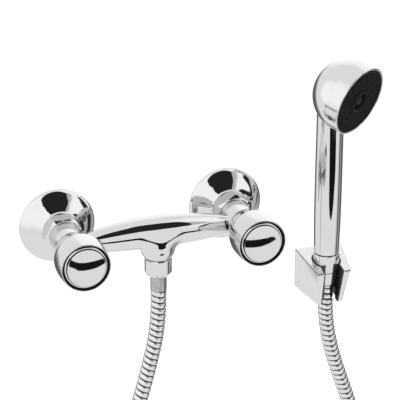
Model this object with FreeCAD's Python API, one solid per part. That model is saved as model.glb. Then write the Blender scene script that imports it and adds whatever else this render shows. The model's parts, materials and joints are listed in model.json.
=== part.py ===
import FreeCAD, Part
import math
import os

# Two-handle wall shower faucet with hose, hand shower and wall bracket.
# Millimetres. +X runs right along the wall, +Y into the wall, +Z up.
# The origin lies on the wall plane, midway between the two inlets.
# "Depth" is the distance in front of the wall, so a point at depth d has y = -d.

V = FreeCAD.Vector
TO_ROOM = V(0, -1, 0)
TO_WALL = V(0, 1, 0)
UP = V(0, 0, 1)
DOWN = V(0, 0, -1)

# Clearances
thread_fit = 0.05
running_fit = 0.07
moving_gap = 0.3
seat_gap = 0.3

# Pipe threads, as plain cylinders at their major radius
half_inch_radius = 10.48
three_quarter_radius = 13.22

# Wall unions
inlet_spacing = 150.0
wall_thread_length = 15.0
union_offset = 2.5
union_length = 20.0
union_bore_radius = 7.0

# Wall flanges
flange_radius = 32.7
flange_depth = 13.0
flange_lip = 1.0
flange_round = 2.6
flange_wall = 1.3
flange_neck_radius = 16.0

# Union nuts, washers and inlet nipples
nut_across_flats = 30.0
nut_length = 13.7
nut_chamfer = 1.3
union_washer_thickness = 2.0
nipple_flange_radius = 12.6
nipple_flange_thickness = 2.2
nipple_shank_radius = 9.8
nipple_shank_length = 12.0
nipple_bore_radius = 6.9

# Mixer body: valve barrels
barrel_radius = 13.2
barrel_length = 26.9
barrel_round = 1.0
inlet_passage_radius = 6.0
chamber_floor = 39.8
seat_height = 1.2
seat_width = 1.6
headwork_thread_radius = 10.4

# Mixer body: arched arm and outlet
arm_middle_radius = 13.7
arm_end_radius = 8.0
arm_middle_depth = 45.6
arm_end_setback = 11.2
arm_middle_height = 1.9
arm_end_height = -1.6
waterway_radius = 4.2
outlet_shoulder = 20.8
outlet_shoulder_radius = 11.1
outlet_bowl_radius = 14.9
outlet_thread_length = 9.7
outlet_bore_radius = 7.0

# Headworks
gasket_thickness = 1.0
gasket_inner_radius = 10.5
gasket_outer_radius = 12.8
headwork_foot_gap = 0.5
headwork_hex_across_flats = 22.0
headwork_hex_height = 5.0
guide_radius = 7.0
guide_length = 14.4
neck_radius = 9.6
neck_wall_height = 1.0
throat_length = 6.4
throat_radius = 7.0
lug_width = 3.0
lug_length = 4.5
lug_reach = 0.95
lug_gap = 0.15

# Plungers, tap washers and their screws
plunger_travel = 4.4
plunger_turns = 2.5
plunger_length = 13.2
plunger_floor = 2.0
tap_washer_radius = 7.4
tap_washer_thickness = 3.0
washer_screw_radius = 2.0
washer_screw_length = 6.3
washer_screw_head_radius = 3.6
washer_screw_head_height = 1.6

# Spindles
spindle_radius = 4.2
spindle_thread_radius = 3.95
spindle_thread_length = 9.7
spindle_collar_radius = 6.3
spindle_collar_height = 1.3
spindle_square = 6.0
spindle_square_length = 7.0
oring_section = 1.2
oring_squeeze_gap = 0.06
oring_spacing = 2.6
circlip_radius = 6.4
circlip_thickness = 1.0
circlip_groove_radius = 3.4
circlip_opening = 4.0

# Handles
handle_start = 53.0
handle_front = 93.0
handle_rear_radius = 15.2
handle_waist_radius = 18.6
handle_shoulder_radius = 21.2
handle_belly_radius = 21.35
handle_front_radius = 20.6
handle_skirt_gap = 0.7
handle_web_thickness = 6.0
handle_recess_radius = 15.9
square_fit = 0.1
ring_radius = 19.6
ring_width = 1.7
ring_depth = 2.5
ring_proud = 0.4
cap_rise = 2.2
cap_edge = 1.15
cap_shoulder = 1.4
cap_skirt_length = 6.0
cap_skirt_wall = 1.2
handle_screw_radius = 2.45
handle_screw_length = 8.5
handle_screw_head_radius = 4.2
handle_screw_head_height = 3.0

# Hose ends
hose_nut_radius = 11.7
hose_nut_length = 15.5
hose_nut_lip = 2.3
hose_nut_chamfer = 1.6
hose_washer_thickness = 2.0
hose_washer_radius = 9.6
tail_flange_radius = 9.0
tail_flange_thickness = 1.7
tail_stem_radius = 3.8
tail_bore_radius = 2.9
sleeve_radius = 7.0
sleeve_length = 16.8
cone_nut_radius = 11.8
cone_nut_tip_radius = 8.6
cone_nut_thread_length = 9.7
cone_nut_length = 28.7
cone_nut_gap = 0.3
sleeve_below_cone = 2.0

# Ribbed hose and the tube inside it
hose_crest_radius = 6.8
hose_groove_radius = 6.2
hose_bore_radius = 4.95
hose_ribs = 192
hose_groove_share = 0.16
liner_radius = 4.7
liner_bore_radius = 3.9

# Hand shower
shower_x = 163.8
shower_depth = 20.6
grip_base_height = -50.8
grip_base_radius = 11.15
grip_middle_height = 5.0
grip_middle_radius = 12.0
grip_top_height = 94.0
grip_top_radius = 11.6
grip_bore_radius = 8.4
grip_bore_top = 89.0
spigot_length = 9.7
spigot_bore_radius = 6.5
head_radius = 31.3
head_offset = 18.9
head_height = 99.4
head_turn = 31.0
head_tilt = 16.0
head_rim = 11.5
head_wall = 2.2
face_radius = 29.5
face_thickness = 3.0
face_recess = 0.2
face_hole_radius = 0.7
face_hole_rings = (13.0, 18.5, 24.0)
face_hole_counts = (8, 12, 16)
hub_radius = 9.2
hub_width = 1.2
hub_proud = 0.9
hub_recess_depth = 1.6
seal_thickness = 1.2
seal_width = 2.0
diffuser_thickness = 2.5
diffuser_slots = 10
diffuser_slot_radius = 2.0
diffuser_slot_ring = 20.0
face_screw_radius = 2.0
face_screw_length = 8.0
face_screw_head_radius = 4.0
face_screw_head_height = 1.2

# Wall bracket
bracket_back_width = 43.5
bracket_back_top = -53.3
bracket_back_bottom = -90.0
bracket_front_top_width = 31.0
bracket_front_bottom_width = 24.3
bracket_front_top = (40.0, -62.5)
bracket_front_bottom = (31.5, -96.4)
slot_top_width = 17.5
slot_bottom_width = 14.0
bracket_screw_spacing = 15.0
bracket_screw_height = -74.0
bracket_screw_hole_radius = 2.3
bracket_screw_head_radius = 4.7
bracket_screw_seat = 4.0
bracket_insert_wall = 0.8
bracket_insert_fit = 0.05

# Route of the hose between its two sleeves, from the mixer's outlet to the hand shower.
# The first and last point are the ends of the sleeves.
hose_route_middle = (
    (0.0, -45.6, -82.0),
    (-9.0, -45.2, -124.0),
    (-26.0, -43.5, -185.0),
    (-37.0, -41.5, -262.0),
    (-38.0, -39.5, -345.0),
    (-23.0, -37.5, -425.0),
    (12.0, -35.5, -490.0),
    (62.0, -34.0, -527.0),
    (118.0, -32.5, -529.0),
    (168.0, -31.0, -494.0),
    (200.0, -29.0, -430.0),
    (214.0, -27.0, -352.0),
    (209.0, -25.5, -270.0),
    (190.0, -23.2, -205.0),
    (171.4, -21.6, -152.0),
    (163.8, -20.6, -112.0),
)

# Depths that follow from the sizes above
hot_x = -inlet_spacing / 2
cold_x = inlet_spacing / 2
nut_start = flange_depth + moving_gap
nut_end = nut_start + nut_length
nipple_start = union_length + union_washer_thickness
nipple_seat = nipple_start + nipple_flange_thickness
nipple_end = nipple_seat + nipple_shank_length
barrel_start = nut_end + moving_gap
barrel_front = barrel_start + barrel_length
arm_end_depth = barrel_front - arm_end_setback
seat_top = chamber_floor + seat_height
washer_start = seat_top + seat_gap
plunger_start = washer_start + tap_washer_thickness
plunger_end = plunger_start + plunger_length
headwork_foot = plunger_start + plunger_travel + headwork_foot_gap
headwork_shoulder = barrel_front + gasket_thickness
hex_top = headwork_shoulder + headwork_hex_height
guide_top = headwork_foot + guide_length
neck_top = guide_top + neck_wall_height
throat_top = guide_top + throat_length
collar_end = guide_top - 0.2
collar_start = collar_end - spindle_collar_height
circlip_start = throat_top + 0.2
square_start = circlip_start + circlip_thickness + 0.5
square_end = square_start + spindle_square_length
web_end = square_end + 0.4
web_start = web_end - handle_web_thickness
ring_floor = handle_front - ring_depth
cap_radius = ring_radius - ring_width - thread_fit
outlet_end = outlet_shoulder + outlet_thread_length
cone_nut_top = grip_base_height - cone_nut_gap
cone_nut_bottom = cone_nut_top - cone_nut_length
cone_start = cone_nut_top - cone_nut_thread_length
sleeve_top_end = cone_nut_bottom - sleeve_below_cone


def turned(outline, centre, axis):
    """Turn an outline of (along, radius) points about an axis through centre.

    An item that holds two points is an arc through the first to the second.
    """
    edges = []
    start = outline[0]
    for item in list(outline[1:]) + [outline[0]]:
        if isinstance(item[0], tuple):
            middle, end = item
            edges.append(Part.Arc(radial(start), radial(middle), radial(end)).toShape())
            start = end
        elif item != start:
            edges.append(Part.LineSegment(radial(start), radial(item)).toShape())
            start = item
    face = Part.Face(Part.Wire(edges))
    solid = face.revolve(V(0, 0, 0), UP, 360)
    return placed(solid, centre, axis)


def radial(point):
    along, radius = point
    return V(radius, 0, along)


def placed(shape, centre, axis):
    """Move a shape that was drawn about +Z at the origin to its own axis."""
    shape.Placement = FreeCAD.Placement(centre, FreeCAD.Rotation(UP, axis))
    return shape


def ring(outer, inner, start, end, centre, axis):
    """A plain ring or disc between two places along an axis."""
    return turned([(start, inner), (start, outer), (end, outer), (end, inner)], centre, axis)


def rod(radius, start, end, centre, axis):
    return placed(Part.makeCylinder(radius, end - start, V(0, 0, start), UP), centre, axis)


def prism(sides, across_flats, start, end, centre, axis, turn=0.0):
    """A regular prism with the given width across its flats."""
    corner = across_flats / 2 / math.cos(math.pi / sides)
    angles = [math.radians(turn) + 2 * math.pi * k / sides for k in range(sides + 1)]
    points = [V(corner * math.cos(a), corner * math.sin(a), start) for a in angles]
    points[-1] = points[0]
    face = Part.Face(Part.makePolygon(points))
    return placed(face.extrude(V(0, 0, end - start)), centre, axis)


def hexagon_with_chamfers(across_flats, chamfer, start, end, centre, axis, turn):
    """A hexagon whose corners are turned down to a cone at both ends."""
    corner = across_flats / 2 / math.cos(math.pi / 6)
    drop = (corner - across_flats / 2 + chamfer) / 2
    blank = turned([(start, 0), (start, across_flats / 2 - chamfer / 2), (start + drop, corner),
                    (end - drop, corner), (end, across_flats / 2 - chamfer / 2), (end, 0)],
                   centre, axis)
    return blank.common(prism(6, across_flats, start, end, centre, axis, turn))


def fuse(first, others):
    return first.fuse(others).removeSplitter()


def valve_centre(x):
    return V(x, 0, 0)


def wall_union(x):
    """Offset union: half-inch thread into the wall, three-quarter-inch thread for the nut."""
    centre = valve_centre(x)
    wall_centre = V(x, 0, -union_offset)
    bore_overlap = union_bore_radius
    body = rod(three_quarter_radius, 0, union_length, centre, TO_ROOM)
    tail = rod(half_inch_radius, -wall_thread_length, 0, wall_centre, TO_ROOM)
    front_bore = rod(union_bore_radius, bore_overlap, union_length, centre, TO_ROOM)
    rear_bore = rod(union_bore_radius, -wall_thread_length, 2 * bore_overlap, wall_centre, TO_ROOM)
    return fuse(body, [tail]).cut([front_bore, rear_bore])


def wall_flange(x):
    """Turned cover: a lip on the wall, a cone up to the neck, open behind."""
    bore = three_quarter_radius + thread_fit
    lip_end = flange_lip + flange_round
    outer_slope_end = flange_depth - flange_wall
    mean = ((lip_end + outer_slope_end) / 2 - 0.5, (flange_radius + flange_neck_radius) / 2 - 0.6)
    inner_mean = (mean[0] - flange_wall, mean[1] - flange_wall / 2)
    outline = [
        (0.0, flange_radius - flange_wall),
        (0.0, flange_radius),
        (flange_lip, flange_radius),
        ((flange_lip + 0.7 * flange_round, flange_radius - 0.3 * flange_round),
         (lip_end, flange_radius - flange_round)),
        (mean, (outer_slope_end, flange_neck_radius)),
        (flange_depth, flange_neck_radius),
        (flange_depth, bore),
        (outer_slope_end - flange_wall, bore),
        (outer_slope_end - flange_wall, flange_neck_radius - flange_wall),
        (inner_mean, (lip_end - flange_wall, flange_radius - flange_round - flange_wall)),
    ]
    return turned(outline, valve_centre(x), TO_ROOM)


def union_nut(x, turn):
    """Hexagon nut that holds the nipple's flange against the wall union."""
    centre = valve_centre(x)
    blank = hexagon_with_chamfers(nut_across_flats, nut_chamfer, nut_start, nut_end, centre, TO_ROOM, turn)
    thread = rod(three_quarter_radius + thread_fit, nut_start, nipple_seat + thread_fit, centre, TO_ROOM)
    lip = rod(nipple_shank_radius + moving_gap, nipple_seat, nut_end, centre, TO_ROOM)
    return blank.cut([thread, lip])


def union_washer(x):
    return ring(nipple_flange_radius, union_bore_radius, union_length, nipple_start,
                valve_centre(x), TO_ROOM)


def inlet_nipple(x):
    """Flanged tail that screws into the back of the valve barrel."""
    outline = [
        (nipple_start, nipple_bore_radius), (nipple_start, nipple_flange_radius),
        (nipple_seat, nipple_flange_radius), (nipple_seat, nipple_shank_radius),
        (nipple_end, nipple_shank_radius), (nipple_end, nipple_bore_radius),
    ]
    return turned(outline, valve_centre(x), TO_ROOM)


def arm():
    """Arched arm between the barrels: a loft through circles that shrink towards the ends."""
    wires = []
    for share in (-1.0, -0.8, -0.6, -0.4, -0.2, 0.0, 0.2, 0.4, 0.6, 0.8, 1.0):
        bow = share * share
        radius = arm_middle_radius + (arm_end_radius - arm_middle_radius) * bow
        depth = arm_middle_depth + (arm_end_depth - arm_middle_depth) * bow
        height = arm_middle_height + (arm_end_height - arm_middle_height) * bow
        centre = V(share * (cold_x - barrel_radius * 0.9), -depth, height)
        circle = Part.Circle(centre, V(1, 0, 0), radius)
        circle.XAxis = UP
        wires.append(Part.Wire(circle.toShape()))
    return Part.makeLoft(wires, True)


def outlet_bowl():
    """Boss that grows out of the arm and narrows to the outlet's shoulder."""
    sections = (
        (0.05 * outlet_shoulder, 1.35 * outlet_bowl_radius, 0.66 * outlet_bowl_radius),
        (0.36 * outlet_shoulder, 1.12 * outlet_bowl_radius, 0.78 * outlet_bowl_radius),
        (0.62 * outlet_shoulder, outlet_bowl_radius, 0.88 * outlet_bowl_radius),
        (0.84 * outlet_shoulder, 0.91 * outlet_bowl_radius, 0.89 * outlet_bowl_radius),
        (outlet_shoulder, outlet_shoulder_radius, outlet_shoulder_radius),
    )
    wires = []
    for drop, half_width, half_depth in sections:
        centre = V(0, -arm_middle_depth, -drop)
        if half_width == half_depth:
            curve = Part.Circle(centre, UP, half_width)
            curve.XAxis = V(1, 0, 0)
        else:
            curve = Part.Ellipse(centre + V(half_width, 0, 0), centre + V(0, half_depth, 0), centre)
        wires.append(Part.Wire(curve.toShape()))
    return Part.makeLoft(wires, True)


def mixer_body():
    """Casting with two valve barrels, the arm with its waterways, and the outlet."""
    outlet_centre = V(0, -arm_middle_depth, 0)
    solid = arm()
    adds = [outlet_bowl(), rod(half_inch_radius, outlet_shoulder - 1, outlet_end, outlet_centre, DOWN)]
    cuts = [rod(outlet_bore_radius, -arm_middle_height, outlet_end, outlet_centre, DOWN)]
    for x in (hot_x, cold_x):
        centre = valve_centre(x)
        side = 1 if x > 0 else -1
        adds.append(turned([
            (barrel_start, 0), (barrel_start, barrel_radius - barrel_round / 2),
            (barrel_start + barrel_round / 2, barrel_radius),
            (barrel_front, barrel_radius), (barrel_front, 0),
        ], centre, TO_ROOM))
        cuts.append(rod(nipple_shank_radius + thread_fit, barrel_start, nipple_end + thread_fit,
                        centre, TO_ROOM))
        cuts.append(rod(inlet_passage_radius, nipple_end, seat_top, centre, TO_ROOM))
        cuts.append(turned([
            (chamber_floor, inlet_passage_radius + seat_width), (chamber_floor, headwork_thread_radius),
            (barrel_front, headwork_thread_radius), (barrel_front, 0), (seat_top, 0),
            (seat_top, inlet_passage_radius + seat_width),
        ], centre, TO_ROOM))
        start = V(side * (cold_x - headwork_thread_radius + 2), -arm_end_depth, arm_end_height)
        end = V(0, -arm_middle_depth, arm_middle_height)
        cuts.append(Part.makeCylinder(waterway_radius, (end - start).Length, start, end - start))
    return fuse(solid, adds).cut(cuts)


def headwork(x):
    """Brass valve top: thread, hexagon, guide for the plunger and throat for the spindle."""
    centre = valve_centre(x)
    outline = [
        (headwork_foot, guide_radius),
        (headwork_foot, headwork_thread_radius - thread_fit),
        (headwork_shoulder, headwork_thread_radius - thread_fit),
        (headwork_shoulder, neck_radius), (neck_top, neck_radius),
        (neck_top, throat_radius), (throat_top, throat_radius),
        (throat_top, spindle_radius + running_fit), (guide_top, spindle_radius + running_fit),
        (guide_top, guide_radius),
    ]
    body = turned(outline, centre, TO_ROOM)
    flange = prism(6, headwork_hex_across_flats, headwork_shoulder, hex_top, centre, TO_ROOM)
    flange = flange.cut(rod(guide_radius, headwork_shoulder - 1, hex_top + 1, centre, TO_ROOM))
    slots = lug_bars(x, lug_width / 2 + lug_gap, guide_radius + lug_reach + 2 * lug_gap,
                     headwork_foot - 1, plunger_end + plunger_travel)
    return fuse(body, [flange]).cut(slots)


def lug_bars(x, half_width, reach, start, end):
    """A bar right across the valve axis, upright: it makes both lugs or both slots."""
    corner = V(x - half_width, -end, -reach)
    return [Part.makeBox(2 * half_width, end - start, 2 * reach, corner)]


def headwork_gasket(x):
    return ring(gasket_outer_radius, gasket_inner_radius, barrel_front, headwork_shoulder,
                valve_centre(x), TO_ROOM)


def plunger(x):
    """Cup that the spindle's thread draws in and out. Two lugs keep it from turning."""
    centre = valve_centre(x)
    outline = [
        (plunger_start, washer_screw_radius + thread_fit),
        (plunger_start, guide_radius - running_fit),
        (plunger_end, guide_radius - running_fit),
        (plunger_end, spindle_thread_radius + running_fit),
        (plunger_start + plunger_floor, spindle_thread_radius + running_fit),
        (plunger_start + plunger_floor, washer_screw_radius + thread_fit),
    ]
    cup = turned(outline, centre, TO_ROOM)
    lug_start = plunger_end - lug_length
    lugs = lug_bars(x, lug_width / 2, guide_radius + lug_reach, lug_start, plunger_end)
    hollow = rod(guide_radius - 2 * running_fit, lug_start - 1, plunger_end + 1, centre, TO_ROOM)
    return fuse(cup, [lugs[0].cut(hollow)])


def tap_washer(x):
    return ring(tap_washer_radius, washer_screw_radius + thread_fit, washer_start, plunger_start,
                valve_centre(x), TO_ROOM)


def washer_screw(x):
    outline = [
        (washer_start - washer_screw_head_height, 0),
        (washer_start - washer_screw_head_height, washer_screw_head_radius),
        (washer_start, washer_screw_head_radius), (washer_start, washer_screw_radius),
        (washer_start + washer_screw_length, washer_screw_radius),
        (washer_start + washer_screw_length, 0),
    ]
    return turned(outline, valve_centre(x), TO_ROOM)


def oring_depths():
    """Places of the two seals' grooves in the throat."""
    middle = (guide_top + throat_top) / 2
    return [middle - oring_spacing / 2, middle + oring_spacing / 2]


def spindle(x):
    """Turned stem: thread below, collar, two seal grooves, circlip groove and a square end."""
    centre = valve_centre(x)
    groove_floor = spindle_radius - oring_section
    groove_half = oring_section / 2 + thread_fit
    outline = [(collar_start - spindle_thread_length, 0),
               (collar_start - spindle_thread_length, spindle_thread_radius),
               (collar_start, spindle_thread_radius), (collar_start, spindle_collar_radius),
               (collar_end, spindle_collar_radius), (collar_end, spindle_radius)]
    for depth in oring_depths():
        outline += [(depth - groove_half, spindle_radius), (depth - groove_half, groove_floor),
                    (depth + groove_half, groove_floor), (depth + groove_half, spindle_radius)]
    outline += [(circlip_start, spindle_radius), (circlip_start, circlip_groove_radius),
                (circlip_start + circlip_thickness, circlip_groove_radius),
                (circlip_start + circlip_thickness, spindle_radius),
                (square_start, spindle_radius), (square_start, 0)]
    stem = turned(outline, centre, TO_ROOM)
    square = prism(4, spindle_square, square_start, square_end, centre, TO_ROOM, 45)
    hole = rod(handle_screw_radius + thread_fit, web_end - handle_screw_length - 1, square_end + 1,
               centre, TO_ROOM)
    return fuse(stem, [square]).cut(hole)


def spindle_orings(x):
    """The two seals in the throat, as one group."""
    section = oring_section / 2
    centre_radius = spindle_radius + running_fit - oring_squeeze_gap / 2 - section
    rings = []
    for depth in oring_depths():
        torus = Part.makeTorus(centre_radius, section - oring_squeeze_gap / 4)
        rings.append(placed(torus, V(x, -depth, 0), TO_ROOM))
    return Part.makeCompound(rings)


def circlip(x):
    """Open spring ring that keeps the spindle from falling into the valve."""
    centre = valve_centre(x)
    band = ring(circlip_radius, circlip_groove_radius + thread_fit, circlip_start,
                circlip_start + circlip_thickness, centre, TO_ROOM)
    opening = Part.makeBox(circlip_opening, 3 * circlip_thickness, circlip_radius + 1,
                           V(x - circlip_opening / 2, -circlip_start - 2 * circlip_thickness,
                             -circlip_radius - 1))
    return band.cut(opening)


def handle(x):
    """Barrel-shaped knob, hollow behind to clear the headwork, with a recess for ring and cap."""
    centre = valve_centre(x)
    length = handle_front - handle_start
    shoulder = handle_start + 0.52 * length
    skirt = barrel_radius + handle_skirt_gap
    nose = (ring_radius + handle_front_radius) / 2
    outline = [
        (handle_start, skirt),
        (handle_start, handle_rear_radius),
        ((handle_start + 0.23 * length, handle_waist_radius), (shoulder, handle_shoulder_radius)),
        ((handle_start + 0.76 * length, handle_belly_radius), (handle_front - 1.2, handle_front_radius)),
        ((handle_front - 0.35, (nose + handle_front_radius) / 2), (handle_front, nose)),
        (handle_front, ring_radius + thread_fit),
        (ring_floor, ring_radius + thread_fit),
        (ring_floor, handle_recess_radius),
        (web_end, handle_recess_radius),
        (web_end, 0),
        (web_start, 0),
        (web_start, skirt),
    ]
    knob = turned(outline, centre, TO_ROOM)
    square = prism(4, spindle_square + 2 * square_fit, web_start - 1, square_end + square_fit,
                   centre, TO_ROOM, 45)
    screw_hole = rod(handle_screw_radius + thread_fit, web_start, web_end + 1, centre, TO_ROOM)
    return knob.cut([square, screw_hole])


def handle_ring(x):
    """Black ring in the knob's front recess, a little proud and rounded."""
    inner = ring_radius - ring_width
    middle = (ring_radius + inner) / 2
    outline = [(ring_floor, inner), (ring_floor, ring_radius), (handle_front, ring_radius),
               ((handle_front + ring_proud, middle), (handle_front, inner))]
    return turned(outline, valve_centre(x), TO_ROOM)


def handle_cap(x):
    """Domed cap with a skirt that is pressed into the knob's recess."""
    skirt = handle_recess_radius - thread_fit
    edge = ring_floor + cap_edge
    turn_in = math.radians(75.0)
    chord = cap_radius - cap_shoulder * (1 - math.cos(turn_in))
    dome = edge + cap_shoulder * math.sin(turn_in)
    sphere = (chord ** 2 + cap_rise ** 2) / (2 * cap_rise)
    half_way = math.sqrt(sphere ** 2 - chord ** 2 / 4) - (sphere - cap_rise)
    outline = [
        (ring_floor, skirt), (ring_floor, cap_radius), (edge, cap_radius),
        ((edge + cap_shoulder * math.sin(turn_in / 2),
          cap_radius - cap_shoulder * (1 - math.cos(turn_in / 2))), (dome, chord)),
        ((dome + half_way, chord / 2), (dome + cap_rise, 0)),
        (ring_floor, 0), (ring_floor, skirt - cap_skirt_wall),
        (ring_floor - cap_skirt_length, skirt - cap_skirt_wall),
        (ring_floor - cap_skirt_length, skirt),
    ]
    return turned(outline, valve_centre(x), TO_ROOM)


def handle_screw(x):
    outline = [
        (web_end - handle_screw_length, 0), (web_end - handle_screw_length, handle_screw_radius),
        (web_end, handle_screw_radius), (web_end, handle_screw_head_radius),
        (web_end + handle_screw_head_height, handle_screw_head_radius - 0.4),
        (web_end + handle_screw_head_height, 0),
    ]
    return turned(outline, valve_centre(x), TO_ROOM)


# Hose fittings. Heights here run down from the mixer's axis at the outlet and at the hand shower.
outlet_axis = V(0, -arm_middle_depth, 0)
shower_axis = V(shower_x, -shower_depth, 0)
lower_tail_start = outlet_end + hose_washer_thickness
lower_nut_start = outlet_shoulder + moving_gap
lower_nut_end = lower_nut_start + hose_nut_length
lower_sleeve_start = lower_tail_start + tail_flange_thickness
lower_sleeve_end = lower_sleeve_start + sleeve_length
spigot_end = -grip_base_height + spigot_length
upper_tail_start = spigot_end + hose_washer_thickness
upper_sleeve_start = upper_tail_start + tail_flange_thickness
upper_sleeve_end = -sleeve_top_end


def hose_nut():
    """Round nut that clamps the hose to the mixer's outlet."""
    lip_start = lower_nut_end - hose_nut_lip
    bore = sleeve_radius + 2 * thread_fit
    thread = half_inch_radius + thread_fit
    top = hose_nut_radius - hose_nut_chamfer / 2
    outline = [
        (lower_nut_start, thread), (lower_nut_start, top),
        (lower_nut_start + hose_nut_chamfer / 2, hose_nut_radius),
        (lower_nut_end - 1.6 * hose_nut_chamfer, hose_nut_radius),
        (lower_nut_end, hose_nut_radius - 1.2 * hose_nut_chamfer),
        (lower_nut_end, bore), (lip_start, bore), (lip_start, thread),
    ]
    return turned(outline, outlet_axis, DOWN)


def hose_washer(start, axis_point):
    return ring(hose_washer_radius, tail_bore_radius + 2, start, start + hose_washer_thickness,
                axis_point, DOWN)


def hose_tail(start, sleeve_end, axis_point):
    """Flanged tail whose stem holds the tube inside the hose."""
    seat = start + tail_flange_thickness
    stem_end = sleeve_end - 1.5
    outline = [
        (start, tail_bore_radius), (start, tail_flange_radius), (seat, tail_flange_radius),
        (seat, tail_stem_radius), (stem_end, tail_stem_radius), (stem_end, tail_bore_radius),
    ]
    return turned(outline, axis_point, DOWN)


def hose_sleeve(start, end, axis_point):
    """Crimped sleeve between the tail's flange and the first rib."""
    outline = [
        (start, hose_bore_radius), (start, sleeve_radius), (end - 0.6, sleeve_radius),
        (end, sleeve_radius - 0.4), (end, hose_bore_radius),
    ]
    return turned(outline, axis_point, DOWN)


def cone_nut():
    """Long nut whose cone sits in the wall bracket."""
    top = -cone_nut_top
    cone = -cone_start
    tip = -cone_nut_bottom
    thread = half_inch_radius + thread_fit
    flange_room = hose_washer_radius + thread_fit
    bore = sleeve_radius + 2 * thread_fit
    outline = [
        (top, thread), (top, cone_nut_radius - 0.5), (top + 0.5, cone_nut_radius),
        (cone, cone_nut_radius), (tip - 0.6, cone_nut_tip_radius), (tip, cone_nut_tip_radius - 0.6),
        (tip, bore), (upper_sleeve_start + thread_fit, bore),
        (upper_sleeve_start + thread_fit, flange_room), (spigot_end + thread_fit, flange_room),
        (spigot_end + thread_fit, thread),
    ]
    return turned(outline, shower_axis, DOWN)


class Route:
    """Straight runs joined by tangent arcs through hand-placed points."""

    def __init__(self, points):
        self.pieces = []
        self.radii = []
        points = [V(*p) for p in points]
        start = points[0]
        for before, corner, after in zip(points, points[1:], points[2:]):
            run_in, run_out = corner - before, after - corner
            reach = 0.45 * min(run_in.Length, run_out.Length)
            turn = run_in.getAngle(run_out)
            radius = reach / math.tan(turn / 2)
            inward = V(run_in).normalize()
            outward = V(run_out).normalize()
            arc_start = corner - inward * reach
            arc_end = corner + outward * reach
            self.pieces.append(("line", start, arc_start))
            self.pieces.append(("arc", arc_start, arc_end, inward, outward, radius, turn))
            self.radii.append(radius)
            start = arc_end
        self.pieces.append(("line", start, points[-1]))
        self.lengths = [self.length_of(piece) for piece in self.pieces]
        self.length = sum(self.lengths)

    @staticmethod
    def length_of(piece):
        if piece[0] == "line":
            return (piece[2] - piece[1]).Length
        return piece[5] * piece[6]

    @staticmethod
    def inside(piece, travelled):
        """Place and direction after some length on one piece."""
        if piece[0] == "line":
            direction = (piece[2] - piece[1]).normalize()
            return piece[1] + direction * travelled, direction
        _, start, _, inward, outward, radius, turn = piece
        to_centre = (outward - inward * inward.dot(outward)).normalize()
        angle = travelled / radius
        place = start + inward * (radius * math.sin(angle)) + to_centre * (radius * (1 - math.cos(angle)))
        return place, inward * math.cos(angle) + to_centre * math.sin(angle)

    def at(self, travelled):
        for piece, length in zip(self.pieces, self.lengths):
            if travelled <= length or piece is self.pieces[-1]:
                return self.inside(piece, min(travelled, length))
            travelled -= length

    def wire(self):
        edges = []
        for piece, length in zip(self.pieces, self.lengths):
            if piece[0] == "line":
                edges.append(Part.LineSegment(piece[1], piece[2]).toShape())
            else:
                middle = self.inside(piece, length / 2)[0]
                edges.append(Part.Arc(piece[1], middle, piece[2]).toShape())
        return Part.Wire(edges)


def circle_across(route, travelled, radius):
    """Circle square to the route, with its start point kept on the same side all along."""
    place, direction = route.at(travelled)
    circle = Part.Circle(place, direction, radius)
    circle.XAxis = (TO_ROOM - direction * direction.dot(TO_ROOM)).normalize()
    return Part.Wire(circle.toShape())


def pipe_along(route, radius):
    """Round bar swept along the route's runs and arcs."""
    start, direction = route.at(0)
    section = Part.Wire(Part.Circle(start, direction, radius).toShape())
    return route.wire().makePipeShell([section], True, False)


def hose_points(lower_end, upper_end):
    first = (outlet_axis.x, outlet_axis.y, -lower_end)
    last = (shower_axis.x, shower_axis.y, -upper_end)
    return [first] + list(hose_route_middle) + [last]


def shower_hose():
    """Metal hose: straight cuffs at both ends, and ribs with narrow grooves between them."""
    route = Route(hose_points(lower_sleeve_end, upper_sleeve_end))
    cuff = 2 * hose_crest_radius
    pitch = (route.length - 2 * cuff) / hose_ribs
    groove = hose_groove_share * pitch
    stations = [(0.0, hose_crest_radius)]
    for rib in range(hose_ribs):
        start = cuff + rib * pitch
        stations += [
            (start, hose_crest_radius), (start + groove, hose_groove_radius),
            (start + 2 * groove, hose_groove_radius), (start + 3 * groove, hose_crest_radius),
        ]
    stations.append((route.length, hose_crest_radius))
    outside = Part.makeLoft([circle_across(route, s, r) for s, r in stations], True, True)
    hose = outside.cut(pipe_along(route, hose_bore_radius))
    print("hose: length %.1f, ribs %d, pitch %.2f, least radius %.1f" % (
        route.length, hose_ribs, pitch, min(route.radii)))
    print("hose radii: " + ", ".join("%.0f" % radius for radius in route.radii))
    bore_volume = math.pi * hose_bore_radius ** 2 * route.length
    print("hose: bore by section %.0f, by solid %.0f" % (bore_volume, outside.Volume - hose.Volume))
    return hose


def hose_liner():
    """Plastic tube inside the metal hose, gripped by both tails."""
    route = Route(hose_points(lower_sleeve_start + 1.0, upper_sleeve_start + 1.0))
    tube = pipe_along(route, liner_radius).cut(pipe_along(route, liner_bore_radius))
    section = math.pi * (liner_radius ** 2 - liner_bore_radius ** 2)
    print("liner: volume %.0f, section times length %.0f" % (tube.Volume, section * route.length))
    return tube


# Hand shower head: its own axis points out of the spray face.
turn_angle = math.radians(head_turn)
tilt_angle = math.radians(head_tilt)
head_direction = V(math.sin(turn_angle) * math.cos(tilt_angle),
                   -math.cos(turn_angle) * math.cos(tilt_angle), -math.sin(tilt_angle))
head_centre = V(shower_x + head_offset * math.sin(turn_angle),
                -shower_depth - head_offset * math.cos(turn_angle), head_height)
face_front = head_rim - face_recess
face_back = face_front - face_thickness
seal_back = face_back - seal_thickness
diffuser_back = seal_back - diffuser_thickness


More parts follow.
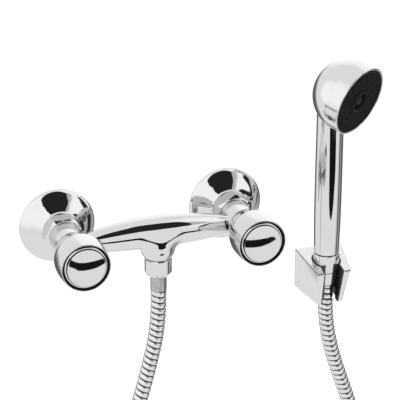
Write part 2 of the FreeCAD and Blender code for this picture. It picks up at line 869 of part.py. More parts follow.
def handset_shell():
    """Grip and head in one moulding: tapered grip, ball-shaped head with a short collar."""
    base = -grip_base_height
    grip = turned([(-grip_top_height, 0), (-grip_top_height, grip_top_radius),
                   (-grip_middle_height, grip_middle_radius), (base - 0.8, grip_base_radius),
                   (base, grip_base_radius - 0.8), (base, 0)], shower_axis, DOWN)
    spigot = rod(half_inch_radius, base - 1, spigot_end, shower_axis, DOWN)
    round_rim = 0.8
    inner = head_radius - head_wall
    eighth = math.cos(math.pi / 4)
    head = turned([(-head_radius, 0), ((-head_radius * eighth, head_radius * eighth), (0.0, head_radius)),
                   (head_rim - round_rim, head_radius), (head_rim, head_radius - round_rim), (head_rim, 0)],
                  head_centre, head_direction)
    cavity = turned([(-inner, 0), ((-inner * eighth, inner * eighth), (0.0, inner)),
                     (diffuser_back, inner), (diffuser_back, face_radius), (head_rim + 1, face_radius),
                     (head_rim + 1, 0)], head_centre, head_direction)
    shell = fuse(grip, [head, spigot]).cut(cavity)
    bore = rod(grip_bore_radius, -grip_bore_top, base - 6, shower_axis, DOWN)
    foot = rod(spigot_bore_radius, base - 7, spigot_end, shower_axis, DOWN)
    return shell.cut([bore, foot])


def spray_face():
    """Black face plate with rings of spray holes and a recess for the hub."""
    plate = turned([(face_back, face_screw_radius + 0.1), (face_back, face_radius - thread_fit),
                    (face_front, face_radius - thread_fit), (face_front, hub_radius + thread_fit),
                    (face_front - hub_recess_depth, hub_radius + thread_fit),
                    (face_front - hub_recess_depth, face_screw_radius + 0.1)], head_centre, head_direction)
    holes = []
    for ring_radius_here, count in zip(face_hole_rings, face_hole_counts):
        for k in range(count):
            angle = 2 * math.pi * k / count
            hole = Part.makeCylinder(face_hole_radius, face_thickness + 2, V(
                ring_radius_here * math.cos(angle), ring_radius_here * math.sin(angle), face_back - 1))
            holes.append(placed(hole, head_centre, head_direction))
    return plate.cut(holes)


def hub_ring():
    """Raised ring at the middle of the spray face."""
    floor = face_front - hub_recess_depth
    return ring(hub_radius, hub_radius - hub_width, floor, face_front + hub_proud,
                head_centre, head_direction)


def face_screw():
    floor = face_front - hub_recess_depth
    outline = [
        (floor - face_screw_length, 0), (floor - face_screw_length, face_screw_radius),
        (floor, face_screw_radius), (floor, face_screw_head_radius),
        (floor + face_screw_head_height, face_screw_head_radius - 0.4),
        (floor + face_screw_head_height, 0),
    ]
    return turned(outline, head_centre, head_direction)


def face_seal():
    outer = face_radius - thread_fit
    return ring(outer, outer - seal_width, seal_back, face_back, head_centre, head_direction)


def diffuser():
    """Disc that spreads the water behind the face, with a boss for the face screw."""
    boss = face_screw_radius + 2.0
    hole_end = face_front - hub_recess_depth - face_screw_length - 0.5
    outline = [
        (hole_end - 1.5, 0), (hole_end - 1.5, boss), (diffuser_back, boss),
        (diffuser_back, face_radius - thread_fit), (seal_back, face_radius - thread_fit),
        (seal_back, boss), (face_back, boss), (face_back, face_screw_radius + thread_fit),
        (hole_end, face_screw_radius + thread_fit), (hole_end, 0),
    ]
    disc = turned(outline, head_centre, head_direction)
    slots = []
    for k in range(diffuser_slots):
        angle = 2 * math.pi * k / diffuser_slots
        slot = Part.makeCylinder(diffuser_slot_radius, diffuser_thickness + 2, V(
            diffuser_slot_ring * math.cos(angle), diffuser_slot_ring * math.sin(angle), diffuser_back - 1))
        slots.append(placed(slot, head_centre, head_direction))
    return disc.cut(slots)


def bracket_rectangle(width_top, width_bottom, top, bottom):
    """Upright four-sided wire, symmetric about the socket. Top and bottom are (depth, height)."""
    corners = [V(shower_x - width_top / 2, -top[0], top[1]), V(shower_x + width_top / 2, -top[0], top[1]),
               V(shower_x + width_bottom / 2, -bottom[0], bottom[1]),
               V(shower_x - width_bottom / 2, -bottom[0], bottom[1])]
    return Part.makePolygon(corners + corners[:1])


def bracket_block():
    """Wedge that is wide and upright at the wall and narrow and leaning at the front."""
    back = bracket_rectangle(bracket_back_width, bracket_back_width,
                             (0.0, bracket_back_top), (0.0, bracket_back_bottom))
    front = bracket_rectangle(bracket_front_top_width, bracket_front_bottom_width,
                              bracket_front_top, bracket_front_bottom)
    return Part.makeLoft([back, front], True, True)


def bracket_hollow(growth):
    """Conical socket for the hand shower's nut and the slot in front of it, both wider by the growth."""
    socket_top = cone_nut_radius + moving_gap + growth
    socket_bottom = cone_nut_tip_radius + moving_gap + growth
    slot_top = slot_top_width / 2 + growth
    slot_bottom = slot_bottom_width / 2 + growth
    above, below = -bracket_back_top - 5, -bracket_front_bottom[1] + 5
    socket = turned([(above, 0), (above, socket_top), (-cone_start, socket_top),
                     (-cone_nut_bottom, socket_bottom), (below, socket_bottom), (below, 0)],
                    shower_axis, DOWN)
    top_z, bottom_z = bracket_back_top + 5, bracket_front_bottom[1] - 5
    slot_corners = [V(shower_x - slot_top, -shower_depth, top_z),
                    V(shower_x + slot_top, -shower_depth, top_z),
                    V(shower_x + slot_bottom, -shower_depth, bottom_z),
                    V(shower_x - slot_bottom, -shower_depth, bottom_z)]
    slot_face = Part.Face(Part.makePolygon(slot_corners + slot_corners[:1]))
    slot = slot_face.extrude(V(0, -1.5 * bracket_front_top[0], 0))
    return [socket, slot]


def bracket_screw_holes():
    """Bores for two screws, one above the other, with room for their heads up to the socket."""
    holes = []
    for height in (bracket_screw_height - bracket_screw_spacing / 2,
                   bracket_screw_height + bracket_screw_spacing / 2):
        centre = V(shower_x, 0, height)
        holes.append(rod(bracket_screw_hole_radius, -1, shower_depth, centre, TO_ROOM))
        holes.append(rod(bracket_screw_head_radius, bracket_screw_seat, shower_depth, centre, TO_ROOM))
    return holes


def wall_bracket():
    """Block that carries the hand shower, hollowed for its insert."""
    hollow = bracket_hollow(bracket_insert_wall + bracket_insert_fit)
    return bracket_block().cut(hollow + bracket_screw_holes())


def bracket_insert():
    """Lining of the socket and the slot, flush with the block's faces."""
    socket, slot = bracket_hollow(bracket_insert_wall)
    plug = socket.fuse(slot).common(bracket_block())
    return plug.cut(bracket_hollow(0.0) + bracket_screw_holes())


def all_nodes():
    """Every piece by name."""
    nodes = {"mixer_body": mixer_body()}
    for side, x, nut_turn in (("hot", hot_x, 2.0), ("cold", cold_x, 28.0)):
        nodes[side + "_wall_union"] = wall_union(x)
        nodes[side + "_wall_flange"] = wall_flange(x)
        nodes[side + "_union_nut"] = union_nut(x, nut_turn)
        nodes[side + "_union_washer"] = union_washer(x)
        nodes[side + "_inlet_nipple"] = inlet_nipple(x)
        nodes[side + "_headwork"] = headwork(x)
        nodes[side + "_headwork_gasket"] = headwork_gasket(x)
        nodes[side + "_plunger"] = plunger(x)
        nodes[side + "_tap_washer"] = tap_washer(x)
        nodes[side + "_washer_screw"] = washer_screw(x)
        nodes[side + "_spindle"] = spindle(x)
        nodes[side + "_spindle_orings"] = spindle_orings(x)
        nodes[side + "_circlip"] = circlip(x)
        nodes[side + "_handle"] = handle(x)
        nodes[side + "_handle_ring"] = handle_ring(x)
        nodes[side + "_handle_cap"] = handle_cap(x)
        nodes[side + "_handle_screw"] = handle_screw(x)
    nodes["hose_nut"] = hose_nut()
    nodes["hose_lower_washer"] = hose_washer(outlet_end, outlet_axis)
    nodes["hose_lower_tail"] = hose_tail(lower_tail_start, lower_sleeve_end, outlet_axis)
    nodes["hose_lower_sleeve"] = hose_sleeve(lower_sleeve_start, lower_sleeve_end, outlet_axis)
    nodes["shower_hose"] = shower_hose()
    nodes["hose_liner"] = hose_liner()
    nodes["hose_upper_sleeve"] = hose_sleeve(upper_sleeve_start, upper_sleeve_end, shower_axis)
    nodes["hose_upper_tail"] = hose_tail(upper_tail_start, upper_sleeve_end, shower_axis)
    nodes["hose_upper_washer"] = hose_washer(spigot_end, shower_axis)
    nodes["cone_nut"] = cone_nut()
    nodes["handset_shell"] = handset_shell()
    nodes["spray_face"] = spray_face()
    nodes["hub_ring"] = hub_ring()
    nodes["face_screw"] = face_screw()
    nodes["face_seal"] = face_seal()
    nodes["diffuser"] = diffuser()
    nodes["wall_bracket"] = wall_bracket()
    nodes["bracket_insert"] = bracket_insert()
    return nodes


os.makedirs("parts", exist_ok=True)
for name, shape in all_nodes().items():
    if not shape.isValid() or shape.Volume <= 0:
        print("check " + name)
    shape.exportStep("parts/" + name + ".step")
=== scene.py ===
import json
import logging
import math
from dataclasses import dataclass
from enum import Enum
from typing import Callable, Sequence

import bmesh
import bpy
import numpy as np
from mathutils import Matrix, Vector


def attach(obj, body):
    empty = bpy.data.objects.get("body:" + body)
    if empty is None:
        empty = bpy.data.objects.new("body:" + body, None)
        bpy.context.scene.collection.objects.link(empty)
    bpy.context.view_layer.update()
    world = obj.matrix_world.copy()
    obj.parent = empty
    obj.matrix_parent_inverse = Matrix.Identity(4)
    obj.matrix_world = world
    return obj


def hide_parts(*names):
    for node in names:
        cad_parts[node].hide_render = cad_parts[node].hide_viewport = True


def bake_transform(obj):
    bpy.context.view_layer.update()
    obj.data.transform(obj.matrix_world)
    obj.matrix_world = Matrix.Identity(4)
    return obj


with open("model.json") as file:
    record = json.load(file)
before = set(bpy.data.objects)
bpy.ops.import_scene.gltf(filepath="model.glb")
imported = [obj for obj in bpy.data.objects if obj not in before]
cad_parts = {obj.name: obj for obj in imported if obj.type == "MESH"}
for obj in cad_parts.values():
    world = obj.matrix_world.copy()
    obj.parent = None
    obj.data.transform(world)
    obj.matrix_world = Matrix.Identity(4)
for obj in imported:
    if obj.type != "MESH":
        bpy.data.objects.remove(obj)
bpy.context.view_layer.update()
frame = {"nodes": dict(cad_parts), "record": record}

LOG = logging.getLogger("shower_faucet")
MM = 0.001
INLET_X = 75.0
Point = tuple[float, float, float]
Corner = tuple[float, float, float]
Outline = Sequence[tuple[float, float]]
Field = Callable[[np.ndarray], np.ndarray]
UP, DOWN, TO_ROOM = (0.0, 0.0, 1.0), (0.0, 0.0, -1.0), (0.0, -1.0, 0.0)


class Side(Enum):
    """The two valve sides of the mixer."""

    HOT = "hot"
    COLD = "cold"

    @property
    def x(self) -> float:
        """Place of the side's inlet along the wall, in millimetres."""
        return INLET_X if self is Side.COLD else -INLET_X


class Slot(Enum):
    """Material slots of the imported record."""

    CHROME = "polished_chrome"
    HOSE = "hose_steel"
    BRASS = "raw_brass"
    STEEL = "spring_steel"
    RUBBER = "black_rubber"
    FIBRE = "fibre"
    BLACK = "black_plastic"
    GREY = "grey_plastic"
    LINER = "liner_plastic"


# Colours, nodes and objects


def linear(hex_code: str) -> tuple[float, float, float, float]:
    """Turn an sRGB hex code into a linear colour.

    Args:
        hex_code: colour such as "#1c1e1b".

    Returns:
        Linear red, green, blue and an alpha of one.
    """
    channels = [int(hex_code[i:i + 2], 16) / 255 for i in (1, 3, 5)]
    values = [c / 12.92 if c <= 0.04045 else ((c + 0.055) / 1.055) ** 2.4 for c in channels]
    return (values[0], values[1], values[2], 1.0)


def feed(node: bpy.types.Node, inputs: dict) -> None:
    """Give a node's inputs their values or links.

    Args:
        node: a node of any tree.
        inputs: socket name or number to a value, to an output socket that feeds it, or to a node
            whose first output does.
    """
    for key, value in inputs.items():
        if isinstance(value, bpy.types.Node):
            value = value.outputs[0]
        if isinstance(value, bpy.types.NodeSocket):
            node.id_data.links.new(value, node.inputs[key])
        else:
            node.inputs[key].default_value = value


def add_node(tree: bpy.types.NodeTree, kind: str, inputs: dict | None = None, **settings) -> bpy.types.Node:
    """Add a node with its settings and its inputs.

    Args:
        tree: node tree of a material, the world or a modifier.
        kind: Blender's type name of the node.
        inputs: what feeds its inputs, as in feed.
        **settings: attributes of the node.

    Returns:
        The new node.
    """
    node = tree.nodes.new(kind)
    for name, value in settings.items():
        setattr(node, name, value)
    feed(node, inputs or {})
    return node


def linked_object(name: str, data: bpy.types.ID) -> bpy.types.Object:
    """Make an object of a mesh, curve, camera or lamp and link it to the scene.

    Args:
        name: name of the object.
        data: what it holds.

    Returns:
        The object.
    """
    obj = bpy.data.objects.new(name, data)
    bpy.context.scene.collection.objects.link(obj)
    return obj


# Finishes


@dataclass(frozen=True)
class Finish:
    """A surface finish: one material with fine variation of colour, gloss and relief.

    Two near colours mix in patches of the grain's size, the roughness grows by its spread from one
    to the other, and a relief with a grain of its own breaks up reflections. Sizes are in
    millimetres: a grain of 4 gives marks about 4 mm apart.
    """

    name: str
    slot: Slot
    base: str
    shade: str
    metallic: float
    roughness: float
    spread: float
    grain: float
    relief: float
    relief_grain: float
    specular: float = 0.06

    def build(self) -> bpy.types.Material:
        """Build the material.

        Returns:
            A node material that reads Object coordinates only.
        """
        material = bpy.data.materials.new(self.name)
        material.use_nodes = True
        tree = material.node_tree
        place = add_node(tree, "ShaderNodeTexCoord").outputs["Object"]
        grain = add_node(tree, "ShaderNodeTexNoise", {
            "Vector": place, "Scale": 1 / (self.grain * MM), "Detail": 3.0}).outputs["Fac"]
        tint = add_node(tree, "ShaderNodeMix", {
            "Factor": grain, "A": linear(self.base), "B": linear(self.shade)}, data_type="RGBA")
        gloss = add_node(tree, "ShaderNodeMapRange", {
            "Value": grain, "From Min": 0.3, "From Max": 0.7,
            "To Min": self.roughness, "To Max": self.roughness + self.spread})
        fine = add_node(tree, "ShaderNodeTexNoise", {
            "Vector": place, "Scale": 1 / (self.relief_grain * MM), "Detail": 2.0})
        bump = add_node(tree, "ShaderNodeBump", {
            "Height": fine.outputs["Fac"], "Strength": 1.0, "Distance": self.relief * MM})
        shader = tree.nodes["Principled BSDF"]
        feed(shader, {"Metallic": self.metallic, "Base Color": tint.outputs["Result"], "Roughness": gloss,
                      "Normal": bump})
        if not self.metallic:
            feed(shader, {"Specular IOR Level": self.specular})
        return material


# The real marks of plating, drawing and moulding are finer than a tenth of a millimetre, too fine
# to show in the render, so each grain is drawn coarser: from 0.3 mm for fibre to 9 mm for plating.

# Nickel-chrome plating on polished brass: a mirror with a faint orange peel. It gives back about
# two thirds of the light, so what it mirrors twice turns grey.
CHROME = Finish("nickel_chrome_plating", Slot.CHROME, "#d0d0d0", "#cacacb", metallic=1.0, roughness=0.03,
                spread=0.03, grain=9.0, relief=0.004, relief_grain=6.0)
# Drawn stainless strip, wound into the hose: bright ribs with soft highlights from the drawing marks.
HOSE_STEEL = Finish("wound_stainless_strip", Slot.HOSE, "#dcdcdc", "#c8c8c9", metallic=1.0, roughness=0.10,
                    spread=0.10, grain=3.0, relief=0.01, relief_grain=1.2)
# Stainless sheet pressed into sleeves: a duller, satin grey, because crimping draws the skin.
SLEEVE_STEEL = Finish("crimped_stainless_sheet", Slot.CHROME, "#b4b4b5", "#9c9c9d", metallic=1.0, roughness=0.16,
                      spread=0.10, grain=4.0, relief=0.008, relief_grain=1.0)
# Turned brass, uncoated: warm yellow, half dull, with fine tool marks.
BRASS = Finish("turned_brass", Slot.BRASS, "#d9b76a", "#b98f45", metallic=1.0, roughness=0.25, spread=0.15,
               grain=4.0, relief=0.02, relief_grain=0.7)
# Spring and screw steel, as drawn: a plain grey with blurred highlights.
STEEL = Finish("drawn_spring_steel", Slot.STEEL, "#b9bbbd", "#9a9da0", metallic=1.0, roughness=0.3, spread=0.1,
               grain=3.0, relief=0.01, relief_grain=0.5)
# Nitrile rubber, moulded: near black and almost without gloss.
RUBBER = Finish("moulded_nitrile_rubber", Slot.RUBBER, "#1b1b1c", "#262627", metallic=0.0, roughness=0.55,
                spread=0.2, grain=3.0, relief=0.03, relief_grain=0.5)
# Red vulcanised fibre, pressed: dry and dull, with short flecks.
FIBRE = Finish("pressed_red_fibre", Slot.FIBRE, "#7a2a1c", "#5f2015", metallic=0.0, roughness=0.7, spread=0.15,
               grain=1.5, relief=0.04, relief_grain=0.3)
# Black ABS from a textured mould: a deep satin black.
BLACK = Finish("moulded_black_abs", Slot.BLACK, "#0b0c0b", "#10110f", metallic=0.0, roughness=0.38, spread=0.12,
               grain=2.0, relief=0.015, relief_grain=0.6)
# Black ABS from a polished mould, for the bracket's lining, whose black also paints the shade inside socket and
# slot: it shows soft streaks of light.
LINING_AND_SOCKET_SHADE = Finish("polished_black_abs_and_socket_shade", Slot.BLACK, "#171816", "#20211f", metallic=0.0, roughness=0.16, spread=0.12,
                grain=3.0, relief=0.01, relief_grain=0.8, specular=0.5)
# Dark grey ABS of the hub, moulded: a little lighter and glossier than the face plate.
GREY = Finish("moulded_grey_abs", Slot.GREY, "#1d1f1e", "#262827", metallic=0.0, roughness=0.3, spread=0.1,
              grain=2.0, relief=0.01, relief_grain=0.6)
# Natural polythene of the inner tube and the water spreader: milky and half dull.
LINER = Finish("natural_polythene", Slot.LINER, "#d9d9d4", "#c9c9c3", metallic=0.0, roughness=0.45, spread=0.1,
               grain=4.0, relief=0.01, relief_grain=1.0)
FINISHES = (CHROME, HOSE_STEEL, BRASS, STEEL, RUBBER, FIBRE, BLACK, GREY, LINER)
# Painted shade and grease in the hose's grooves: the base colour darkens to this tone there.
GROOVE_SHADE_AND_GREASE_TONE = "#1a1b1c"


# Shapes

# Distances in metres within which points are merged, and a bare minimum for divisors.
MERGE_DISTANCE = 2e-6
COPY_MERGE_DISTANCE = 1e-6
SLIVER = 1e-7
TINY = 1e-9


@dataclass(frozen=True)
class Spot:
    """A turning axis: its centre in millimetres and the direction of "along"."""

    centre: Point
    along: Point

    def basis(self) -> np.ndarray:
        """Find the axis's own directions.

        Returns:
            Two directions across the axis and the one along it, as rows.
        """
        w = np.array(self.along, float)
        w /= np.linalg.norm(w)
        helper = np.array(UP) if abs(w[2]) < 0.9 else np.array((0.0, 1.0, 0.0))
        u = np.cross(helper, w)
        u /= np.linalg.norm(u)
        return np.array((u, np.cross(w, u), w))

    def place(self, along: np.ndarray, radius: np.ndarray, angle: np.ndarray) -> np.ndarray:
        """Find points around the axis.

        Args:
            along: length along the axis, in millimetres.
            radius: distance from the axis, in millimetres.
            angle: turn about the axis, in radians.

        Returns:
            The points, in millimetres.
        """
        u, v, w = self.basis()
        return (np.array(self.centre) + along[..., None] * w + (radius * np.cos(angle))[..., None] * u
                + (radius * np.sin(angle))[..., None] * v)

    def split(self, points: np.ndarray) -> tuple[np.ndarray, np.ndarray]:
        """Find where points lie about the axis.

        Args:
            points: points in millimetres.

        Returns:
            Their lengths along the axis and their distances from it.
        """
        offset = points - np.array(self.centre)
        w = self.basis()[2]
        along = offset @ w
        return along, np.linalg.norm(offset - along[:, None] * w, axis=1)


def valve_axis(side: Side) -> Spot:
    """A side's valve axis, with "along" out of the wall."""
    return Spot((side.x, 0.0, 0.0), TO_ROOM)


def rounded(corners: Sequence[Corner], steps: int = 5) -> list[tuple[float, float]]:
    """Round the corners of a closed outline.

    Args:
        corners: (along, radius, fillet) in millimetres. A fillet of zero keeps the corner.
        steps: faces in each fillet.

    Returns:
        The outline's points.
    """
    outline = []
    for k, (a, r, fillet) in enumerate(corners):
        here = np.array((a, r))
        if fillet <= 0:
            outline.append((a, r))
            continue
        before = np.array(corners[k - 1][:2]) - here
        after = np.array(corners[(k + 1) % len(corners)][:2]) - here
        d0, d1 = before / np.linalg.norm(before), after / np.linalg.norm(after)
        half = 0.5 * math.acos(float(np.clip(d0 @ d1, -1, 1)))
        reach = min(fillet / math.tan(half), 0.49 * np.linalg.norm(before), 0.49 * np.linalg.norm(after))
        radius = reach * math.tan(half)
        centre = here + (d0 + d1) / np.linalg.norm(d0 + d1) * radius / math.sin(half)
        start, end = here + d0 * reach - centre, here + d1 * reach - centre
        turn = math.atan2(start[0] * end[1] - start[1] * end[0], float(start @ end))
        for step in range(steps + 1):
            angle = turn * step / steps
            c, s = math.cos(angle), math.sin(angle)
            point = centre + np.array((c * start[0] - s * start[1], s * start[0] + c * start[1]))
            outline.append((float(point[0]), float(point[1])))
    return outline


def natural_spline(knots: Sequence[float], values: Sequence[float]) -> Callable[[np.ndarray], np.ndarray]:
    """Natural cubic spline through values at rising knots.

    Args:
        knots: rising places.
        values: value at each place.

    Returns:
        A function that gives the value at any place, held level beyond both ends.
    """
    x, y = np.array(knots, float), np.array(values, float)
    n, h = len(x), np.diff(x)
    system, right = np.eye(n), np.zeros(n)
    for i in range(1, n - 1):
        system[i, i - 1:i + 2] = h[i - 1], 2 * (h[i - 1] + h[i]), h[i]
        right[i] = 6 * ((y[i + 1] - y[i]) / h[i] - (y[i] - y[i - 1]) / h[i - 1])
    bend = np.linalg.solve(system, right)

    def value(at: np.ndarray) -> np.ndarray:
        """Read the spline.

        Args:
            at: places.

        Returns:
            The values there.
        """
        t = np.clip(at, x[0], x[-1])
        i = np.clip(np.searchsorted(x, t) - 1, 0, n - 2)
        a, b = (x[i + 1] - t) / h[i], (t - x[i]) / h[i]
        return a * y[i] + b * y[i + 1] + ((a ** 3 - a) * bend[i] + (b ** 3 - b) * bend[i + 1]) * h[i] ** 2 / 6

    return value


def curve_through(points: Outline, count: int) -> list[tuple[float, float]]:
    """Sample a natural cubic spline through a few (along, radius) points.

    Args:
        points: the points in order.
        count: number of samples.

    Returns:
        The samples, ends included.
    """
    xy = np.array(points, float)
    knots = np.concatenate(([0.0], np.cumsum(np.linalg.norm(np.diff(xy, axis=0), axis=1))))
    samples = np.linspace(0, knots[-1], count)
    return [tuple(row) for row in np.stack([natural_spline(knots, xy[:, k])(samples) for k in (0, 1)], axis=1)]


def new_object(name: str, vertices: np.ndarray, faces: Sequence[Sequence[int]]) -> bpy.types.Object:
    """Make an object from points in millimetres, with doubles merged and faces turned outwards.

    Args:
        name: name of the object.
        vertices: points in millimetres.
        faces: vertex numbers of each face.

    Returns:
        The object, linked to the scene.
    """
    mesh = bpy.data.meshes.new(name)
    mesh.from_pydata((np.asarray(vertices) * MM).tolist(), [], [list(f) for f in faces])
    work = bmesh.new()
    work.from_mesh(mesh)
    bmesh.ops.remove_doubles(work, verts=work.verts, dist=MERGE_DISTANCE)
    bmesh.ops.dissolve_degenerate(work, edges=work.edges, dist=SLIVER)
    bmesh.ops.recalc_face_normals(work, faces=work.faces)
    work.to_mesh(mesh)
    work.free()
    return linked_object(name, mesh)


def grid_faces(rows: int, columns: int, wrap_rows: bool) -> list[tuple[int, ...]]:
    """List the faces of a grid of points whose columns close on themselves.

    Args:
        rows: number of rows.
        columns: points in each row.
        wrap_rows: whether the last row joins the first.

    Returns:
        Four point numbers for each face.
    """
    faces = []
    for i in range(rows if wrap_rows else rows - 1):
        for j in range(columns):
            a, b = i * columns + j, i * columns + (j + 1) % columns
            c, d = ((i + 1) % rows) * columns + (j + 1) % columns, ((i + 1) % rows) * columns + j
            faces.append((a, b, c, d))
    return faces


def baked(obj: bpy.types.Object) -> bpy.types.Object:
    """Apply all modifiers of an object by evaluating it into a plain mesh.

    Args:
        obj: mesh or curve object.

    Returns:
        The same object, or a mesh object in its place if it was a curve.
    """
    graph = bpy.context.evaluated_depsgraph_get()
    mesh = bpy.data.meshes.new_from_object(obj.evaluated_get(graph), preserve_all_data_layers=True,
                                           depsgraph=graph)
    if obj.type == "MESH":
        obj.modifiers.clear()
        obj.data = mesh
        return obj
    name = obj.name
    bpy.data.objects.remove(obj)
    return linked_object(name, mesh)


def smooth_with_crisp_edges(obj: bpy.types.Object, crisp_degrees: float = 32.0) -> bpy.types.Object:
    """Shade smooth, keep edges above an angle sharp, and weight normals by face area.

    Args:
        obj: mesh object.
        crisp_degrees: edges that turn by more stay sharp.

    Returns:
        The same object.
    """
    obj.data.polygons.foreach_set("use_smooth", [True] * len(obj.data.polygons))
    obj.data.set_sharp_from_angle(angle=math.radians(crisp_degrees))
    modifier = obj.modifiers.new("weighted", "WEIGHTED_NORMAL")
    modifier.keep_sharp = True
    return baked(obj)


def lathe(name: str, outline: Outline, spot: Spot, segments: int = 96) -> bpy.types.Object:
    """Turn a closed outline about an axis.

    Args:
        name: name of the object.
        outline: (along, radius) points in millimetres. The outline closes on itself.
        spot: the turning axis.
        segments: faces around.

    Returns:
        A smooth-shaded object.
    """
    along, radius = np.array(outline, float).T
    angles = np.linspace(0, 2 * math.pi, segments, endpoint=False)
    points = spot.place(*np.broadcast_arrays(along[:, None], np.maximum(radius, 0)[:, None], angles))
    faces = grid_faces(len(outline), segments, True)
    return smooth_with_crisp_edges(new_object(name, points.reshape(-1, 3), faces))


def joined(name: str, parts: Sequence[bpy.types.Object]) -> bpy.types.Object:
    """Join several mesh objects into one, keeping their normals.

    Args:
        name: name of the result.
        parts: the objects.

    Returns:
        The first object, with the others in it.
    """
    with bpy.context.temp_override(active_object=parts[0], selected_editable_objects=list(parts)):
        bpy.ops.object.join()
    parts[0].name = name
    return parts[0]


def open_curve(name: str, kind: str, route: Sequence[Point]) -> bpy.types.Object:
    """Make a curve object with one open spline.

    Args:
        name: name of the object.
        kind: "POLY" or "NURBS".
        route: its points in millimetres.

    Returns:
        The object.
    """
    data = bpy.data.curves.new(name, "CURVE")
    data.dimensions = "3D"
    data.resolution_u = 24
    spline = data.splines.new(kind)
    spline.points.add(len(route) - 1)
    for point, (x, y, z) in zip(spline.points, route):
        point.co = (x * MM, y * MM, z * MM, 1.0)
    return linked_object(name, data)


# Blended solids: a closed surface where a field of signed distances is zero

# Steps to the surface, the longest of them in cells, and the least square of a slope to divide by.
FIT_STEPS = 12
LONGEST_MOVE = 0.8
LEAST_SLOPE = 0.05


def blend_union(a: np.ndarray, b: np.ndarray, soft: float) -> np.ndarray:
    """Union of two fields, with a fillet of about the given size."""
    h = np.clip(0.5 + 0.5 * (b - a) / soft, 0, 1)
    return b * (1 - h) + a * h - soft * h * (1 - h)


def blend_cut(a: np.ndarray, b: np.ndarray, soft: float) -> np.ndarray:
    """Intersection of two fields, with a rounded edge of about the given size."""
    return -blend_union(-a, -b, soft)


def slope(field: Field, points: np.ndarray, step: float = 0.02) -> np.ndarray:
    """Find a field's gradient by central differences.

    Args:
        field: signed distance in millimetres.
        points: where to find it.
        step: length of a difference in millimetres.

    Returns:
        The gradient at each point.
    """
    out = np.empty_like(points)
    for k in range(3):
        shift = np.zeros(3)
        shift[k] = step
        out[:, k] = (field(points + shift) - field(points - shift)) / (2 * step)
    return out


def blended_solid(name: str, rough: bpy.types.Object, field: Field, cell_mm: float) -> bpy.types.Object:
    """Mesh the zero surface of a field, starting from a rough closed shape near it.

    Args:
        name: name of the object.
        rough: closed shells, which may overlap.
        field: signed distance in millimetres, negative inside.
        cell_mm: size of the faces.

    Returns:
        An object whose vertices and normals lie on the field's surface.
    """
    modifier = rough.modifiers.new("voxels", "REMESH")
    modifier.mode = "VOXEL"
    modifier.voxel_size = cell_mm * MM
    rough = baked(rough)
    rough.name = name
    mesh = rough.data
    points = np.empty(len(mesh.vertices) * 3, np.float32)
    mesh.vertices.foreach_get("co", points)
    points = points.reshape(-1, 3).astype(float) / MM
    for _ in range(FIT_STEPS):
        grad = slope(field, points)
        size = np.maximum((grad ** 2).sum(1), LEAST_SLOPE)
        move = field(points)[:, None] * grad / size[:, None]
        length = np.linalg.norm(move, axis=1, keepdims=True)
        points -= move * np.minimum(1.0, LONGEST_MOVE * cell_mm / np.maximum(length, TINY))
    normals = slope(field, points)
    normals /= np.maximum(np.linalg.norm(normals, axis=1, keepdims=True), TINY)
    mesh.vertices.foreach_set("co", (points * MM).astype(np.float32).ravel())
    mesh.polygons.foreach_set("use_smooth", [True] * len(mesh.polygons))
    mesh.update()
    mesh.normals_split_custom_set_from_vertices(normals.tolist())
    return rough


def tube_through(name: str, rings: Sequence[np.ndarray]) -> bpy.types.Object:
    """Make a closed shell through rings of points, capped at both ends.

    Args:
        name: name of the object.
        rings: points of each ring in millimetres, as many in each.

    Returns:
        The shell.
    """
    count = len(rings[0])
    points = np.concatenate([np.asarray(r) for r in rings])
    faces = grid_faces(len(rings), count, False)
    faces += [tuple(range(count)), tuple(range(len(points) - count, len(points)))]
    return new_object(name, points, faces)


# Geometry Nodes trees

TUBE_SIZES = ("radius", "depth", "pitch", "width", "ridge", "fade", "step")
NOZZLE_SIZES = ("foot_radius", "tip_radius", "height")
# Part of a groove's width that its flat floor takes.
FLOOR_SHARE = 0.44


def new_tree(name: str, sockets: dict[str, str]) -> tuple[bpy.types.NodeTree, bpy.types.NodeOutputs]:
    """Start a Geometry Nodes tree with a geometry, some named inputs and a material.

    Args:
        name: name of the tree.
        sockets: name of each further input to its kind, such as "Float".

    Returns:
        The tree and the sockets that give its inputs.
    """
    tree = bpy.data.node_groups.new(name, "GeometryNodeTree")
    for label, kind in {"Geometry": "Geometry", **sockets, "Material": "Material"}.items():
        tree.interface.new_socket(label, in_out="INPUT", socket_type="NodeSocket" + kind)
    tree.interface.new_socket("Geometry", in_out="OUTPUT", socket_type="NodeSocketGeometry")
    return tree, tree.nodes.new("NodeGroupInput").outputs


def end_tree(tree: bpy.types.NodeTree, geometry: bpy.types.Node, material: bpy.types.NodeSocket) -> None:
    """End a tree in Realize Instances and Set Material, so that the result holds no instances.

    Args:
        tree: the tree.
        geometry: the node that gives its geometry.
        material: the socket that gives its material.
    """
    real = add_node(tree, "GeometryNodeRealizeInstances", {"Geometry": geometry})
    dressed = add_node(tree, "GeometryNodeSetMaterial", {"Geometry": real, "Material": material})
    add_node(tree, "NodeGroupOutput", {"Geometry": dressed})


def through_tree(obj: bpy.types.Object, tree: bpy.types.NodeTree, values: dict[str, object]) -> bpy.types.Object:
    """Run an object through a tree and keep the result as a plain mesh.

    Args:
        obj: mesh or curve object, which is used up.
        tree: the tree.
        values: name of each input to its value, set by the socket's identifier.

    Returns:
        The result.
    """
    modifier = obj.modifiers.new(tree.name, "NODES")
    modifier.node_group = tree
    for item in tree.interface.items_tree:
        if item.item_type == "SOCKET" and item.in_out == "INPUT" and item.name in values:
            modifier[item.identifier] = values[item.name]
    return baked(obj)


